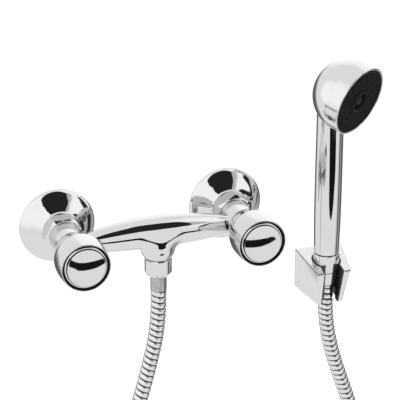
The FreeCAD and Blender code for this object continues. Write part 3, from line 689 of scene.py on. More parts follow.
@dataclass(frozen=True)
class RibbedTube:
    """Tube along a curve with a wound groove, such as a strip-wound hose or a thread.

    The groove climbs by one pitch each turn, and the ridge bows the land between its turns. Both
    fade to nothing over the fade length at both ends. Sizes are in millimetres.
    """

    radius: float
    depth: float
    pitch: float
    width: float
    ridge: float
    fade: float
    step: float
    segments: int

    def modifier_tree(self) -> bpy.types.NodeTree:
        """Build the tree, with its sizes as named inputs.

        Returns:
            A Geometry Nodes tree that ends in Realize Instances and Set Material.
        """
        tree, given = new_tree("wound_tube", {**dict.fromkeys(TUBE_SIZES, "Float"), "segments": "Int"})
        pitch, width = given["pitch"], given["width"]
        whole = add_node(tree, "GeometryNodeCurveLength", {"Curve": given["Geometry"]})
        resampled = add_node(tree, "GeometryNodeResampleCurve", {
            "Curve": given["Geometry"], "Length": given["step"]}, mode="LENGTH")
        path = add_node(tree, "GeometryNodeCaptureAttribute", {"Geometry": resampled})
        path.capture_items.new("FLOAT", "travel")
        feed(path, {"travel": add_node(tree, "GeometryNodeSplineParameter").outputs["Length"]})
        circle = add_node(tree, "GeometryNodeCurvePrimitiveCircle", {
            "Resolution": given["segments"], "Radius": given["radius"]}, mode="RADIUS")
        section = add_node(tree, "GeometryNodeCaptureAttribute", {"Geometry": circle})
        section.capture_items.new("FLOAT", "turn")
        index = add_node(tree, "GeometryNodeInputIndex")
        part = add_node(tree, "ShaderNodeMath", {0: index, 1: given["segments"]}, operation="DIVIDE")
        feed(section, {"turn": part})
        tube = add_node(tree, "GeometryNodeCurveToMesh", {
            "Curve": path, "Profile Curve": section, "Fill Caps": True})
        travel, turn = path.outputs["travel"], section.outputs["turn"]

        # Distance from the middle of the groove, across it.
        laps = add_node(tree, "ShaderNodeMath", {0: travel, 1: pitch}, operation="DIVIDE")
        wound = add_node(tree, "ShaderNodeMath", {0: laps, 1: turn}, operation="ADD")
        phase = add_node(tree, "ShaderNodeMath", {0: wound}, operation="FRACT")
        centred = add_node(tree, "ShaderNodeMath", {0: phase, 1: 0.5}, operation="SUBTRACT")
        offset = add_node(tree, "ShaderNodeMath", {0: centred}, operation="ABSOLUTE")
        distance = add_node(tree, "ShaderNodeMath", {0: offset, 1: pitch}, operation="MULTIPLY")

        # The groove has a flat floor and soft walls.
        floor = add_node(tree, "ShaderNodeMath", {0: width, 1: FLOOR_SHARE / 2}, operation="MULTIPLY")
        edge = add_node(tree, "ShaderNodeMath", {0: width, 1: 0.5}, operation="MULTIPLY")
        groove = add_node(tree, "ShaderNodeMapRange", {
            "Value": distance, "From Min": floor, "From Max": edge, "To Min": 1.0, "To Max": 0.0},
            interpolation_type="SMOOTHSTEP")
        cut = add_node(tree, "ShaderNodeMath", {0: groove, 1: given["depth"]}, operation="MULTIPLY")

        # The land between is bowed: it falls towards the groove by the ridge.
        inner = add_node(tree, "ShaderNodeMath", {0: 0.5, 1: offset}, operation="SUBTRACT")
        share = add_node(tree, "ShaderNodeMath", {0: inner, 1: 2.0}, operation="MULTIPLY")
        bow = add_node(tree, "ShaderNodeMath", {0: share, 1: 2.0}, operation="POWER")
        crown = add_node(tree, "ShaderNodeMath", {0: bow, 1: given["ridge"]}, operation="MULTIPLY")
        both = add_node(tree, "ShaderNodeMath", {0: cut, 1: crown}, operation="ADD")

        # Both fade towards the nearer end.
        left = add_node(tree, "ShaderNodeMath", {0: whole, 1: travel}, operation="SUBTRACT")
        near = add_node(tree, "ShaderNodeMath", {0: travel, 1: left}, operation="MINIMUM")
        fading = add_node(tree, "ShaderNodeMath", {0: near, 1: given["fade"]}, operation="DIVIDE", use_clamp=True)
        shown = add_node(tree, "ShaderNodeMath", {0: both, 1: fading}, operation="MULTIPLY")
        scale = add_node(tree, "ShaderNodeMath", {0: shown, 1: -1.0}, operation="MULTIPLY")
        inward = add_node(tree, "ShaderNodeVectorMath", {
            0: add_node(tree, "GeometryNodeInputNormal"), "Scale": scale}, operation="SCALE")

        moved = add_node(tree, "GeometryNodeSetPosition", {"Geometry": tube, "Offset": inward})
        named = add_node(tree, "GeometryNodeStoreNamedAttribute", {
            "Geometry": moved, "Name": "groove", "Value": groove}, data_type="FLOAT", domain="POINT")
        end_tree(tree, add_node(tree, "GeometryNodeSetShadeSmooth", {"Geometry": named}), given["Material"])
        return tree

    def along(self, name: str, curve: bpy.types.Object, material: bpy.types.Material) -> bpy.types.Object:
        """Make the tube along a curve object, which it uses up.

        Args:
            name: name of the piece.
            curve: a curve object with one open spline and no bevel.
            material: the tube's material.

        Returns:
            The tube as a mesh object.
        """
        curve.name = name
        values = {size: getattr(self, size) * MM for size in TUBE_SIZES}
        values |= {"segments": self.segments, "Material": material}
        return through_tree(curve, self.modifier_tree(), values)


@dataclass(frozen=True)
class NozzleRings:
    """Small nozzles in rings on the spray face, moulded in one with it.

    Each ring is (radius, count), and each is turned by the twist for every millimetre of its
    radius, in radians.
    """

    rings: tuple[tuple[float, int], ...]
    foot_radius: float
    tip_radius: float
    height: float
    twist: float = 0.13
    segments: int = 14
    crisp_degrees: float = 40.0

    def modifier_tree(self) -> bpy.types.NodeTree:
        """Build the tree that sets one nozzle on each point of the input mesh.

        Returns:
            A Geometry Nodes tree that ends in Realize Instances and Set Material.
        """
        tree, given = new_tree("nozzles", {
            **dict.fromkeys(NOZZLE_SIZES, "Float"), "segments": "Int", "facing": "Vector"})
        cone = add_node(tree, "GeometryNodeMeshCone", {
            "Vertices": given["segments"], "Radius Bottom": given["foot_radius"],
            "Radius Top": given["tip_radius"], "Depth": given["height"]})
        turn = add_node(tree, "FunctionNodeAlignEulerToVector", {"Vector": given["facing"]}, axis="Z")
        nozzles = add_node(tree, "GeometryNodeInstanceOnPoints", {
            "Points": given["Geometry"], "Instance": cone, "Rotation": turn})
        end_tree(tree, nozzles, given["Material"])
        return tree

    def on_face(self, name: str, spot: Spot, front: float, material: bpy.types.Material) -> bpy.types.Object:
        """Make all nozzles on a flat face.

        Args:
            name: name of the piece.
            spot: axis of the face.
            front: place of the face along the axis.
            material: the nozzles' material.

        Returns:
            One mesh object.
        """
        places = []
        for radius, count in self.rings:
            angle = np.arange(count) * 2 * math.pi / count + self.twist * radius
            places.append(spot.place(np.full(count, front), np.full(count, radius), angle))
        mesh = bpy.data.meshes.new(name)
        mesh.from_pydata((np.concatenate(places) * MM).tolist(), [], [])
        values = {size: getattr(self, size) * MM for size in NOZZLE_SIZES}
        values |= {"segments": self.segments, "facing": spot.basis()[2].tolist(), "Material": material}
        nozzles = through_tree(linked_object(name, mesh), self.modifier_tree(), values)
        return smooth_with_crisp_edges(nozzles, self.crisp_degrees)


# Sub-assemblies


@dataclass
class Palette:
    """All finishes as materials, by slot."""

    materials: dict[Slot, bpy.types.Material]

    @classmethod
    def build(cls) -> "Palette":
        """Build every finish once."""
        return cls({finish.slot: finish.build() for finish in FINISHES})

    def dress(self, piece: bpy.types.Object, body: str, slot: Slot, *nodes: str,
              material: bpy.types.Material | None = None) -> None:
        """Give a new piece its material and its body, and hide the solids that it stands for.

        Args:
            piece: the object.
            body: the body it moves with.
            slot: the slot whose finish it gets, when no material is given.
            *nodes: solids that it replaces.
            material: a finish of its own, in place of the slot's.
        """
        piece.data.materials.clear()
        piece.data.materials.append(material or self.materials[slot])
        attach(piece, body)
        if nodes:
            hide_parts(*nodes)
        LOG.info("%s on %s, %d faces", piece.name, body, len(piece.data.polygons))

    def dress_inner_nodes(self) -> None:
        """Give every solid of the frame the finish of its slot."""
        for item in frame["record"]["subparts"]:
            materials = frame["nodes"][item["node"]].data.materials
            materials.clear()
            materials.append(self.materials[Slot(item["material_slot"])])


@dataclass
class ValveSide:
    """One valve side: flange, nut, knob with ring and cap, and the wall thread.

    Lengths along the valve are from the wall. The offset of the union lowers its thread. Outlines
    are (along, radius).
    """

    side: Side
    nut_turn: float
    flange_radius: float = 32.7
    flange_depth: float = 13.0
    flange_neck: float = 16.0
    flange_wall: float = 1.3
    flange_cone_wall: float = 0.6
    flange_cone: Outline = ((1.3, 32.65), (2.1, 32.3), (2.85, 31.65), (3.6, 30.75), (4.7, 29.1), (6.45, 26.2),
                            (9.65, 20.0), (11.9, 16.3))
    union_radius: float = 13.1
    union_bore: float = 7.0
    union_floor: float = 8.0
    union_end: float = 20.0
    union_offset: float = 2.5
    union_fit: float = 13.27
    thread_length: float = 15.0
    thread: RibbedTube = RibbedTube(radius=10.48, depth=1.1, pitch=1.814, width=1.6, ridge=0.0, fade=1.2,
                                    step=0.24, segments=72)
    nut_flats: float = 30.0
    nut_fillet: float = 0.9
    nut_start: float = 13.3
    nut_end: float = 27.0
    nut_shoulder: float = 24.3
    nut_mouth: float = 10.2
    nut_face: float = 12.9
    chamfer_inset: float = 0.65
    knob_start: float = 53.0
    knob_front: float = 93.0
    knob_skirt: float = 13.9
    knob_floor: float = 74.0
    knob_recess: float = 80.0
    knob_side: Outline = ((53.4, 15.4), (55.0, 16.15), (58.0, 17.25), (61.0, 18.25), (64.0, 19.15), (67.0, 19.95),
                          (70.0, 20.75), (73.0, 21.2), (78.0, 21.35), (84.0, 21.25), (89.0, 20.85), (91.6, 20.55))
    ring_seat: float = 90.5
    ring_radius: float = 19.45
    ring_depth: float = 2.0
    fit: float = 0.05
    cap_radius: float = 18.3
    cap_front: float = 95.2
    cap_rise: float = 1.8
    dome_radius: float = 15.9
    plug_start: float = 84.5
    plug_radius: float = 15.85
    plug_wall: float = 1.2
    seal_width: float = 1.2

    @property
    def spot(self) -> Spot:
        """The valve's axis, with "along" out of the wall."""
        return valve_axis(self.side)

    @property
    def dome_base(self) -> float:
        """Where the cap's dome starts along the valve."""
        return self.cap_front - self.cap_rise

    def name(self, piece: str) -> str:
        """Piece name with the side in front."""
        return self.side.value + "_" + piece

    def flange(self) -> bpy.types.Object:
        """Bell-shaped cover: lip, slightly hollow cone and neck, open behind.

        Returns:
            The flange.
        """
        depth, wall = self.flange_depth, self.flange_wall
        cone = curve_through(self.flange_cone, 40)
        outline = [(0.0, self.flange_radius - wall, 0.3), (0.0, self.flange_radius, 0.35)]
        outline += [(a, r, 0.0) for a, r in cone]
        outline += [(depth, self.flange_neck - 0.3, 0.5), (depth, self.union_fit, 0.2),
                    (depth - 2 * wall, self.union_fit, 0.0)]
        outline += [(a - wall, r - self.flange_cone_wall, 0.0) for a, r in reversed(cone[10:])]
        return lathe(self.name("flange_cover"), rounded(outline), self.spot, 128)

    def nut(self) -> bpy.types.Object:
        """Hexagon nut with rounded corners and turned chamfers at both ends.

        Returns:
            The nut.
        """
        sixth, fillet, half = math.pi / 6, self.nut_fillet, self.nut_flats / 2
        corner = half / math.cos(sixth)
        distance = (half - fillet) / math.cos(sixth)
        tangent = math.atan2(fillet * math.sin(sixth), distance + fillet * math.cos(sixth))
        edge = math.degrees(tangent)
        local = np.radians(np.concatenate((np.linspace(-30, -edge, 7)[:-1], np.linspace(-edge, edge, 7),
                                           np.linspace(edge, 30, 7)[1:-1])))
        delta = np.tile(local, 6)
        angle = np.repeat(np.radians(self.nut_turn + 60 * np.arange(6)), len(local)) + delta
        arc = np.maximum(fillet ** 2 - (distance * np.sin(delta)) ** 2, 0.0)
        size = np.where(np.abs(delta) <= tangent + TINY, distance * np.cos(delta) + np.sqrt(arc),
                        half / np.cos(sixth - np.abs(delta)))

        # The chamfer is a cone that takes the corners off, from just inside the flats.
        face_edge = half - self.chamfer_inset
        cut = (size - face_edge) * ((corner - half) / 2 + self.chamfer_inset) / (corner - face_edge)
        rows = [(self.nut_end, self.nut_mouth), (self.nut_end, self.nut_face),
                (self.nut_end - 0.06, face_edge - 0.2),
                (self.nut_end - 0.14, face_edge), (self.nut_end - cut, size), (self.nut_start + cut, size),
                (self.nut_start + 0.07, face_edge), (self.nut_start, face_edge - 0.25),
                (self.nut_start, self.union_fit), (self.nut_shoulder, self.union_fit),
                (self.nut_shoulder, self.nut_mouth)]
        flat = np.ones_like(size)
        points = np.concatenate([self.spot.place(a * flat, r * flat, angle) for a, r in rows])
        obj = new_object(self.name("nut"), points, grid_faces(len(rows), len(angle), True))
        return smooth_with_crisp_edges(obj, crisp_degrees=24.0)

    def knob(self) -> bpy.types.Object:
        """Barrel-shaped knob with a rounded nose, hollow behind, recessed in front.

        Returns:
            The knob.
        """
        front, seat, recess, floor = self.knob_front, self.ring_seat, self.knob_recess, self.knob_floor
        skirt, ring, bore = self.knob_skirt, self.ring_radius + self.fit, self.dome_radius
        outline = [(self.knob_start, skirt, 0.2), (self.knob_start, 15.2, 0.25)]
        outline += [(a, r, 0.0) for a, r in curve_through(self.knob_side, 34)]
        outline += [(front - 0.25, 20.35, 0.5), (front, 20.1, 0.25), (front, ring, 0.12), (seat, ring, 0.0),
                    (seat, bore, 0.0), (recess, bore, 0.0), (recess, 0.0, 0.0), (floor, 0.0, 0.0),
                    (floor, skirt, 0.0)]
        return lathe(self.name("knob"), rounded(outline), self.spot, 128)

    def ring(self) -> bpy.types.Object:
        """Black ring around the cap, set back behind the knob's nose, with a rounded front.

        Returns:
            The ring.
        """
        outer, inner = self.ring_radius, self.cap_radius + self.fit
        start, end = self.ring_seat, self.ring_seat + self.ring_depth
        outline = [(start, inner, 0.1), (start, outer, 0.1), (end, outer, 0.5), (end, inner, 0.5)]
        return lathe(self.name("knob_ring"), rounded(outline, 6), self.spot, 128)

    def cap(self) -> bpy.types.Object:
        """Chromed cap: a rounded bezel with its plug and, above the seal, a dome of even curvature.

        Returns:
            The cap.
        """
        radius, step, seat, base = self.cap_radius, self.dome_radius, self.ring_seat, self.dome_base
        plug, bore = self.plug_radius, self.plug_radius - self.plug_wall
        turns = np.radians(np.linspace(0.0, 85.0, 10))
        bezel = [(seat, plug, 0.0), (seat, radius, 0.1)]
        bezel += [(seat + 0.2 + 1.6 * math.sin(t), step + 0.6 + (radius - step - 0.6) * math.cos(t), 0.0)
                  for t in turns]
        bezel += [(seat + 1.4, step + 0.05, 0.0), (seat + 1.0, step - 0.5, 0.0), (seat, bore, 0.0),
                  (self.plug_start, bore, 0.1), (self.plug_start, plug, 0.1)]
        sphere = (step ** 2 + self.cap_rise ** 2) / (2 * self.cap_rise)
        dome = [(seat + 1.0, 0.0, 0.0), (seat + 1.0, step - self.seal_width - 0.1, 0.0),
                (base - 0.03, step - self.seal_width, 0.0), (base - 0.03, step, 0.0)]
        dome += [(base + math.sqrt(sphere ** 2 - r ** 2) - (sphere - self.cap_rise), r, 0.0)
                 for r in np.linspace(step - 0.15, 0, 24)]
        return joined(self.name("knob_cap"), [lathe("bezel", rounded(bezel), self.spot, 128),
                                              lathe("dome", rounded(dome), self.spot, 128)])

    def cap_seal(self) -> bpy.types.Object:
        """Black seal that shows as a thin line between bezel and dome; its black also paints the shade of the gap
        there.

        Returns:
            The seal.
        """
        outer, inner = self.dome_radius, self.dome_radius - self.seal_width
        start, end = self.ring_seat + 1.05, self.dome_base - 0.08
        outline = [(start, inner, 0.0), (start, outer, 0.0), (end, outer, 0.0), (end, inner, 0.0)]
        return lathe(self.name("knob_cap_seal"), rounded(outline), self.spot, 128)

    def union(self, palette: Palette) -> bpy.types.Object:
        """Offset union: body with its bore mouth, and a half-inch wall thread, wound for real.

        Args:
            palette: the finishes.

        Returns:
            The union.
        """
        start = (self.side.x, 0.0, -self.union_offset)
        end = (self.side.x, self.thread_length, -self.union_offset)
        path = open_curve(self.name("thread_path"), "POLY", (start, end))
        thread = self.thread.along(self.name("union_thread"), path, palette.materials[Slot.BRASS])
        outer, bore, floor = self.union_radius, self.union_bore, self.union_floor
        outline = [(0.0, 0.0, 0.0), (0.0, outer, 0.3), (self.union_end, outer, 0.5), (self.union_end, bore, 0.3),
                   (floor, bore, 0.0), (floor, 0.0, 0.0)]
        return joined(self.name("union"), [lathe("body", rounded(outline), self.spot, 72), thread])

    def build(self, palette: Palette) -> None:
        """Build and dress all pieces of the side.

        Args:
            palette: the finishes.
        """
        fixed, turning = "fixed_parts", self.side.value + "_knob"
        for piece, body, slot, node in (
                (self.flange(), fixed, Slot.CHROME, "wall_flange"),
                (self.nut(), fixed, Slot.CHROME, "union_nut"),
                (self.union(palette), fixed, Slot.BRASS, "wall_union"),
                (self.knob(), turning, Slot.CHROME, "handle"),
                (self.ring(), turning, Slot.BLACK, "handle_ring"),
                (self.cap(), turning, Slot.CHROME, "handle_cap")):
            palette.dress(piece, body, slot, self.name(node))
        # The black seal also paints the shade of the gap between bezel and dome.
        palette.dress(self.cap_seal(), turning, Slot.BLACK)


@dataclass
class MixerBody:
    """Casting: arched arm, two valve barrels and the outlet bowl, blended into each other.

    The arm's middle and end are (y, z, radius). Its front is flatter than its back by the front
    share, and its distances shrink by the taper. The bowl's sizes are given at some drops below the
    valves' axes.
    """

    arm_middle: Point = (-45.6, 1.9, 13.7)
    arm_end: Point = (-43.0, -1.6, 8.0)
    arm_reach: float = 63.12
    arm_front_share: float = 0.79
    arm_taper: float = 0.9
    arm_overrun: float = 3.0
    most_bow: float = 1.4
    barrel_radius: float = 13.2
    barrel: tuple[float, float] = (27.06, 54.2)
    bowl_drop: tuple[float, ...] = (-8.0, -4.0, 0.0, 5.8, 9.0, 12.9, 17.5, 20.8)
    bowl_half_width: tuple[float, ...] = (18.0, 19.0, 20.1, 17.7, 16.1, 14.9, 13.56, 11.1)
    bowl_half_depth: tuple[float, ...] = (4.6, 7.8, 11.0, 12.6, 12.75, 12.65, 12.4, 11.1)
    bowl_top: float = 10.0
    bowl_fillet: float = 4.6
    barrel_fillet: float = 2.0
    edge: float = 0.8
    cell: float = 0.7

    def section(self, x: np.ndarray) -> tuple[np.ndarray, np.ndarray, np.ndarray]:
        """Find the arm's section at some places along the wall.

        Args:
            x: the places in millimetres.

        Returns:
            Centre (y and z) and radius.
        """
        bow = np.minimum((x / self.arm_reach) ** 2, self.most_bow)
        y, z, r = (m + (e - m) * bow for m, e in zip(self.arm_middle, self.arm_end))
        return y, z, r

    def bowl(self, drop: np.ndarray) -> tuple[np.ndarray, np.ndarray]:
        """Half width and half depth of the outlet bowl at some drops."""
        return (natural_spline(self.bowl_drop, self.bowl_half_width)(drop),
                natural_spline(self.bowl_drop, self.bowl_half_depth)(drop))

    def field(self, p: np.ndarray) -> np.ndarray:
        """Find the signed distance of the casting.

        Args:
            p: points in millimetres.

        Returns:
            Their distances.
        """
        x, y, z = p.T
        cy, cz, r = self.section(x)
        depth = np.where(y < cy, (y - cy) / self.arm_front_share, y - cy)
        arm = (np.hypot(depth, z - cz) - r) * self.arm_taper
        arm = blend_cut(arm, np.abs(x) - self.arm_reach - self.arm_overrun, 0.5)
        width, depth = self.bowl(-z)
        bowl = (np.sqrt((x / width) ** 2 + ((y - self.arm_middle[0]) / depth) ** 2) - 1) * np.minimum(width, depth)
        bowl = blend_cut(bowl, -z - self.bowl_drop[-1], self.edge)
        bowl = blend_cut(bowl, z - self.bowl_top, 3.0)
        solid = blend_union(arm, bowl, self.bowl_fillet)
        middle, half = -sum(self.barrel) / 2, (self.barrel[1] - self.barrel[0]) / 2
        tube = np.hypot(np.abs(x) - INLET_X, z) - self.barrel_radius
        tube = blend_cut(tube, np.abs(y - middle) - half, self.edge)
        return blend_union(solid, tube, self.barrel_fillet)

    def rough(self) -> bpy.types.Object:
        """Make overlapping closed shells near the final surface.

        Returns:
            Arm, bowl and barrels in one object.
        """
        turn = np.linspace(0, 2 * math.pi, 48, endpoint=False)
        flat = np.ones_like(turn)
        rings = []
        for x in np.linspace(-self.arm_reach - 2, self.arm_reach + 2, 41):
            cy, cz, r = self.section(np.array([x]))
            rings.append(np.stack([x * flat, cy + r * np.cos(turn), cz + r * np.sin(turn)], axis=1))
        shells = [tube_through("arm", rings)]
        rings = []
        for drop in np.linspace(1.0, 20.6, 14):
            w, d = self.bowl(np.array(drop))
            rings.append(np.stack([w * np.cos(turn), self.arm_middle[0] + d * np.sin(turn), -drop * flat], axis=1))
        shells.append(tube_through("bowl", rings))
        start, end = self.barrel
        outline = [(start, 0.0), (start, self.barrel_radius), (end, self.barrel_radius), (end, 0.0)]
        shells += [lathe("barrel", outline, valve_axis(side), 64) for side in Side]
        return joined("casting", shells)

    def build(self, palette: Palette) -> None:
        """Build and dress the casting."""
        solid = blended_solid("casting", self.rough(), self.field, self.cell)
        palette.dress(solid, "fixed_parts", Slot.CHROME, "mixer_body")


@dataclass
class HoseRun:
    """Hose nut, crimped sleeves and the ribbed hose.

    The nut's outline is (below the valves' axes, radius, fillet).
    """

    outlet: Point = (0.0, -45.6, 0.0)
    shower: Point = (163.8, -20.6, 0.0)
    ribs: RibbedTube = RibbedTube(radius=6.8, depth=0.95, pitch=5.3, width=1.7, ridge=0.30, fade=5.0, step=0.36,
                                  segments=24)
    nut_outline: tuple[Corner, ...] = (
        (21.1, 10.53, 0.1), (21.1, 11.2, 0.3), (21.9, 11.7, 0.6), (33.4, 11.7, 0.9), (36.6, 9.6, 0.8),
        (36.6, 7.1, 0.15), (34.3, 7.1, 0.0), (34.3, 10.53, 0.0))
    sleeve_radius: float = 7.0
    sleeve_bore: float = 4.95
    route: tuple[Point, ...] = (
        (0.0, -45.6, -51.0), (0.0, -45.6, -82.0), (-9.0, -45.2, -124.0), (-26.0, -43.5, -185.0),
        (-37.0, -41.5, -262.0), (-38.0, -39.5, -345.0), (-23.0, -37.5, -425.0), (12.0, -35.5, -490.0),
        (62.0, -34.0, -527.0), (118.0, -32.5, -529.0), (168.0, -31.0, -494.0), (200.0, -29.0, -430.0),
        (214.0, -27.0, -352.0), (209.0, -25.5, -270.0), (190.0, -23.2, -205.0), (171.4, -21.6, -152.0),
        (163.8, -20.6, -112.0), (163.8, -20.6, -81.8))

    def hose(self, palette: Palette) -> tuple[bpy.types.Object, list[Point]]:
        """Make the ribbed hose along its route, a NURBS spline.

        Args:
            palette: the finishes.

        Returns:
            The mesh and its path in metres.
        """
        curve = open_curve("hose_line", "NURBS", self.route)
        spline = curve.data.splines[0]
        spline.order_u = 3
        spline.use_endpoint_u = True
        graph = bpy.context.evaluated_depsgraph_get()
        line = bpy.data.meshes.new_from_object(curve.evaluated_get(graph), depsgraph=graph)
        path = [tuple(v.co) for v in line.vertices]
        return self.ribs.along("ribbed_hose", curve, palette.materials[Slot.HOSE]), path

    def paint_groove_shade_and_grease(self, material: bpy.types.Material) -> None:
        """Paint shade and grease into the hose's finish: its base colour darkens where its groove is.

        Args:
            material: the hose's material.
        """
        tree = material.node_tree
        shader = tree.nodes["Principled BSDF"]
        colour = shader.inputs["Base Color"].links[0].from_socket
        groove = add_node(tree, "ShaderNodeAttribute", attribute_name="groove", attribute_type="GEOMETRY")
        # Painted shade and grease: the groove mask mixes the base colour towards the dark groove tone.
        dark = add_node(tree, "ShaderNodeMix", {
            "Factor": groove.outputs["Fac"], "A": colour, "B": linear(GROOVE_SHADE_AND_GREASE_TONE)}, data_type="RGBA")
        feed(shader, {"Base Color": dark.outputs["Result"]})

    def nut(self) -> bpy.types.Object:
        """Round nut under the outlet."""
        return lathe("outlet_nut", rounded(self.nut_outline), Spot(self.outlet, DOWN), 96)

    def sleeve(self, name: str, start: float, end: float, centre: Point) -> bpy.types.Object:
        """Make a crimped sleeve with a rounded lower edge.

        Args:
            name: name of the piece.
            start: its upper end, below the centre in millimetres.
            end: its lower end.
            centre: a point on its axis.

        Returns:
            The sleeve.
        """
        outer, bore = self.sleeve_radius, self.sleeve_bore
        outline = [(start, bore, 0.0), (start, outer, 0.1), (end - 1.6, outer, 0.5),
                   (end - 1.2, outer - 0.15, 0.3), (end, outer - 0.05, 0.45), (end, bore, 0.0)]
        return lathe(name, rounded(outline), Spot(centre, DOWN), 72)

    def build(self, palette: Palette) -> None:
        """Build and dress the hose and its ends.

        Args:
            palette: the finishes.
        """
        hose, path = self.hose(palette)
        # Paints shade and grease into the hose's grooves.
        self.paint_groove_shade_and_grease(palette.materials[Slot.HOSE])
        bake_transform(hose)
        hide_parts("shower_hose", "hose_liner")
        LOG.info("%s, %d faces", hose.name, len(hose.data.polygons))
        palette.dress(self.nut(), "fixed_parts", Slot.CHROME, "hose_nut")
        steel = SLEEVE_STEEL.build()
        for name, start, end, centre, body, node in (
                ("outlet_sleeve", 34.2, 51.0, self.outlet, "fixed_parts", "hose_lower_sleeve"),
                ("shower_sleeve", 64.2, 81.8, self.shower, "hose_end", "hose_upper_sleeve")):
            palette.dress(self.sleeve(name, start, end, centre), body, Slot.CHROME, node, material=steel)


@dataclass
class HandShower:
    """Grip with its ball-shaped head, spray face, hub and the cone nut.

    Sizes across the head are radii, and those through it lie along its axis from the ball's centre.
    The cone nut's outline is (below the valves' axes, radius, fillet).
    """

    axis: Point = (163.8, -20.6, 0.0)
    head_radius: float = 31.3
    head_offset: float = 18.9
    head_height: float = 99.4
    head_turn: float = 31.0
    head_tilt: float = 16.0
    rim: float = 11.5
    recess_floor: float = 8.0
    fit: float = 0.05
    face_radius: float = 29.5
    face_front: float = 11.3
    face_bore: float = 2.1
    hub_radius: float = 9.2
    hub_seat: float = 1.6
    grip_heights: tuple[float, ...] = (-50.8, -22.0, 5.0, 50.0, 94.0)
    grip_radii: tuple[float, ...] = (11.1, 11.83, 12.0, 11.93, 11.78)
    grip_edges: tuple[float, float] = (1.2, 1.0)
    rim_edge: float = 0.9
    recess_edge: float = 0.25
    neck_fillet: float = 1.6
    cell: float = 0.75
    cone_outline: tuple[Corner, ...] = (
        (51.1, 10.53, 0.1), (51.1, 11.8, 0.5), (60.8, 11.8, 1.5), (66.9, 10.77, 0.15), (67.1, 9.9, 0.0),
        (67.9, 9.8, 0.0), (68.1, 10.57, 0.15), (79.8, 8.6, 0.6), (79.8, 7.1, 0.2), (64.25, 7.1, 0.0),
        (64.25, 9.65, 0.0), (60.55, 9.65, 0.0), (60.55, 10.53, 0.0))
    nozzles: NozzleRings = NozzleRings(((13.0, 8), (18.5, 12), (24.0, 16)), foot_radius=0.9, tip_radius=0.75,
                                       height=0.3)

    @property
    def head(self) -> Spot:
        """Axis of the head.

        Returns:
            The ball's centre, with "along" out of the spray face.
        """
        turn, tilt = math.radians(self.head_turn), math.radians(self.head_tilt)
        x, y, _ = self.axis
        centre = (x + self.head_offset * math.sin(turn), y - self.head_offset * math.cos(turn), self.head_height)
        return Spot(centre, (math.sin(turn) * math.cos(tilt), -math.cos(turn) * math.cos(tilt), -math.sin(tilt)))

    def field(self, p: np.ndarray) -> np.ndarray:
        """Find the signed distance of grip and head, with the recess for the spray face.

        Args:
            p: points in millimetres.

        Returns:
            Their distances.
        """
        radius = natural_spline(self.grip_heights, self.grip_radii)(p[:, 2])
        grip = np.hypot(p[:, 0] - self.axis[0], p[:, 1] - self.axis[1]) - radius
        grip = blend_cut(grip, self.grip_heights[0] - p[:, 2], self.grip_edges[0])
        grip = blend_cut(grip, p[:, 2] - self.grip_heights[-1], self.grip_edges[1])
        along, across = self.head.split(p)
        ball = np.where(along < 0, np.hypot(along, across), across) - self.head_radius
        ball = blend_cut(ball, along - self.rim, self.rim_edge)
        solid = blend_union(ball, grip, self.neck_fillet)
        recess = np.maximum(across - self.face_radius - self.fit, self.recess_floor - along)
        return blend_cut(solid, -recess, self.recess_edge)

    def rough(self) -> bpy.types.Object:
        """Make overlapping closed shells near the final surface.

        Returns:
            Ball and grip in one object.
        """
        inner, outer, floor = self.face_radius + self.fit, self.head_radius, self.recess_floor
        ball = [(-outer * math.cos(a), outer * math.sin(a)) for a in np.linspace(0, math.pi / 2, 24)]
        ball += [(self.rim, outer), (self.rim, inner), (floor, inner), (floor, 0.0)]
        low, high = self.grip_heights[0], self.grip_heights[-1]
        radius = natural_spline(self.grip_heights, self.grip_radii)
        grip = [(low, 0.0), *((z, float(radius(np.array(z)))) for z in np.linspace(low, high, 30)), (high, 0.0)]
        return joined("hand_shower", [lathe("ball", ball, self.head, 96),
                                      lathe("grip", grip, Spot(self.axis, UP), 64)])

    def face(self) -> bpy.types.Object:
        """Black face plate with a shallow dish and a recess for the hub.

        Returns:
            The plate.
        """
        outer, front, hub, bore = self.face_radius, self.face_front, self.hub_radius, self.face_bore
        back, dish, seat = self.recess_floor + 0.3, front - 0.35, front - self.hub_seat
        outline = [(back, bore, 0.0), (back, outer, 0.1), (front, outer, 0.5), (front, outer - 1.5, 0.4),
                   (dish, outer - 2.3, 0.5), (dish, hub + 1.4, 0.6), (front, hub + 0.5, 0.3),
                   (front, hub + self.fit, 0.1), (seat, hub + self.fit, 0.0), (seat, bore, 0.0)]
        return lathe("face_plate", rounded(outline), self.head, 128)

    def hub(self) -> bpy.types.Object:
        """Raised ring with a dished middle.

        Returns:
            The ring.
        """
        outer, floor, top = self.hub_radius, self.face_front - self.hub_seat, self.face_front + 0.9
        outline = [(floor, outer - 1.2, 0.0), (floor, outer, 0.0), (top - 0.5, outer, 0.5),
                   (top, outer - 0.55, 0.25), (top, outer - 1.0, 0.2), (top - 1.4, outer - 1.2, 0.2)]
        return lathe("hub_disc", rounded(outline), self.head, 96)

    def cone_nut(self) -> bpy.types.Object:
        """Long nut whose cone sits in the bracket, with a thin groove above the cone."""
        return lathe("bracket_cone", rounded(self.cone_outline), Spot(self.axis, DOWN), 96)

    def build(self, palette: Palette) -> None:
        """Build and dress the hand shower.

        Args:
            palette: the finishes.
        """
        body = "hand_shower"
        shell = blended_solid("grip_and_head", self.rough(), self.field, self.cell)
        palette.dress(shell, body, Slot.CHROME, "handset_shell")
        palette.dress(self.face(), body, Slot.BLACK, "spray_face")
        palette.dress(self.hub(), body, Slot.GREY, "hub_ring")
        palette.dress(self.cone_nut(), body, Slot.CHROME, "cone_nut")
        front = self.face_front - self.nozzles.height
        nozzles = self.nozzles.on_face("nozzles", self.head, front, palette.materials[Slot.BLACK])
        palette.dress(nozzles, body, Slot.BLACK)


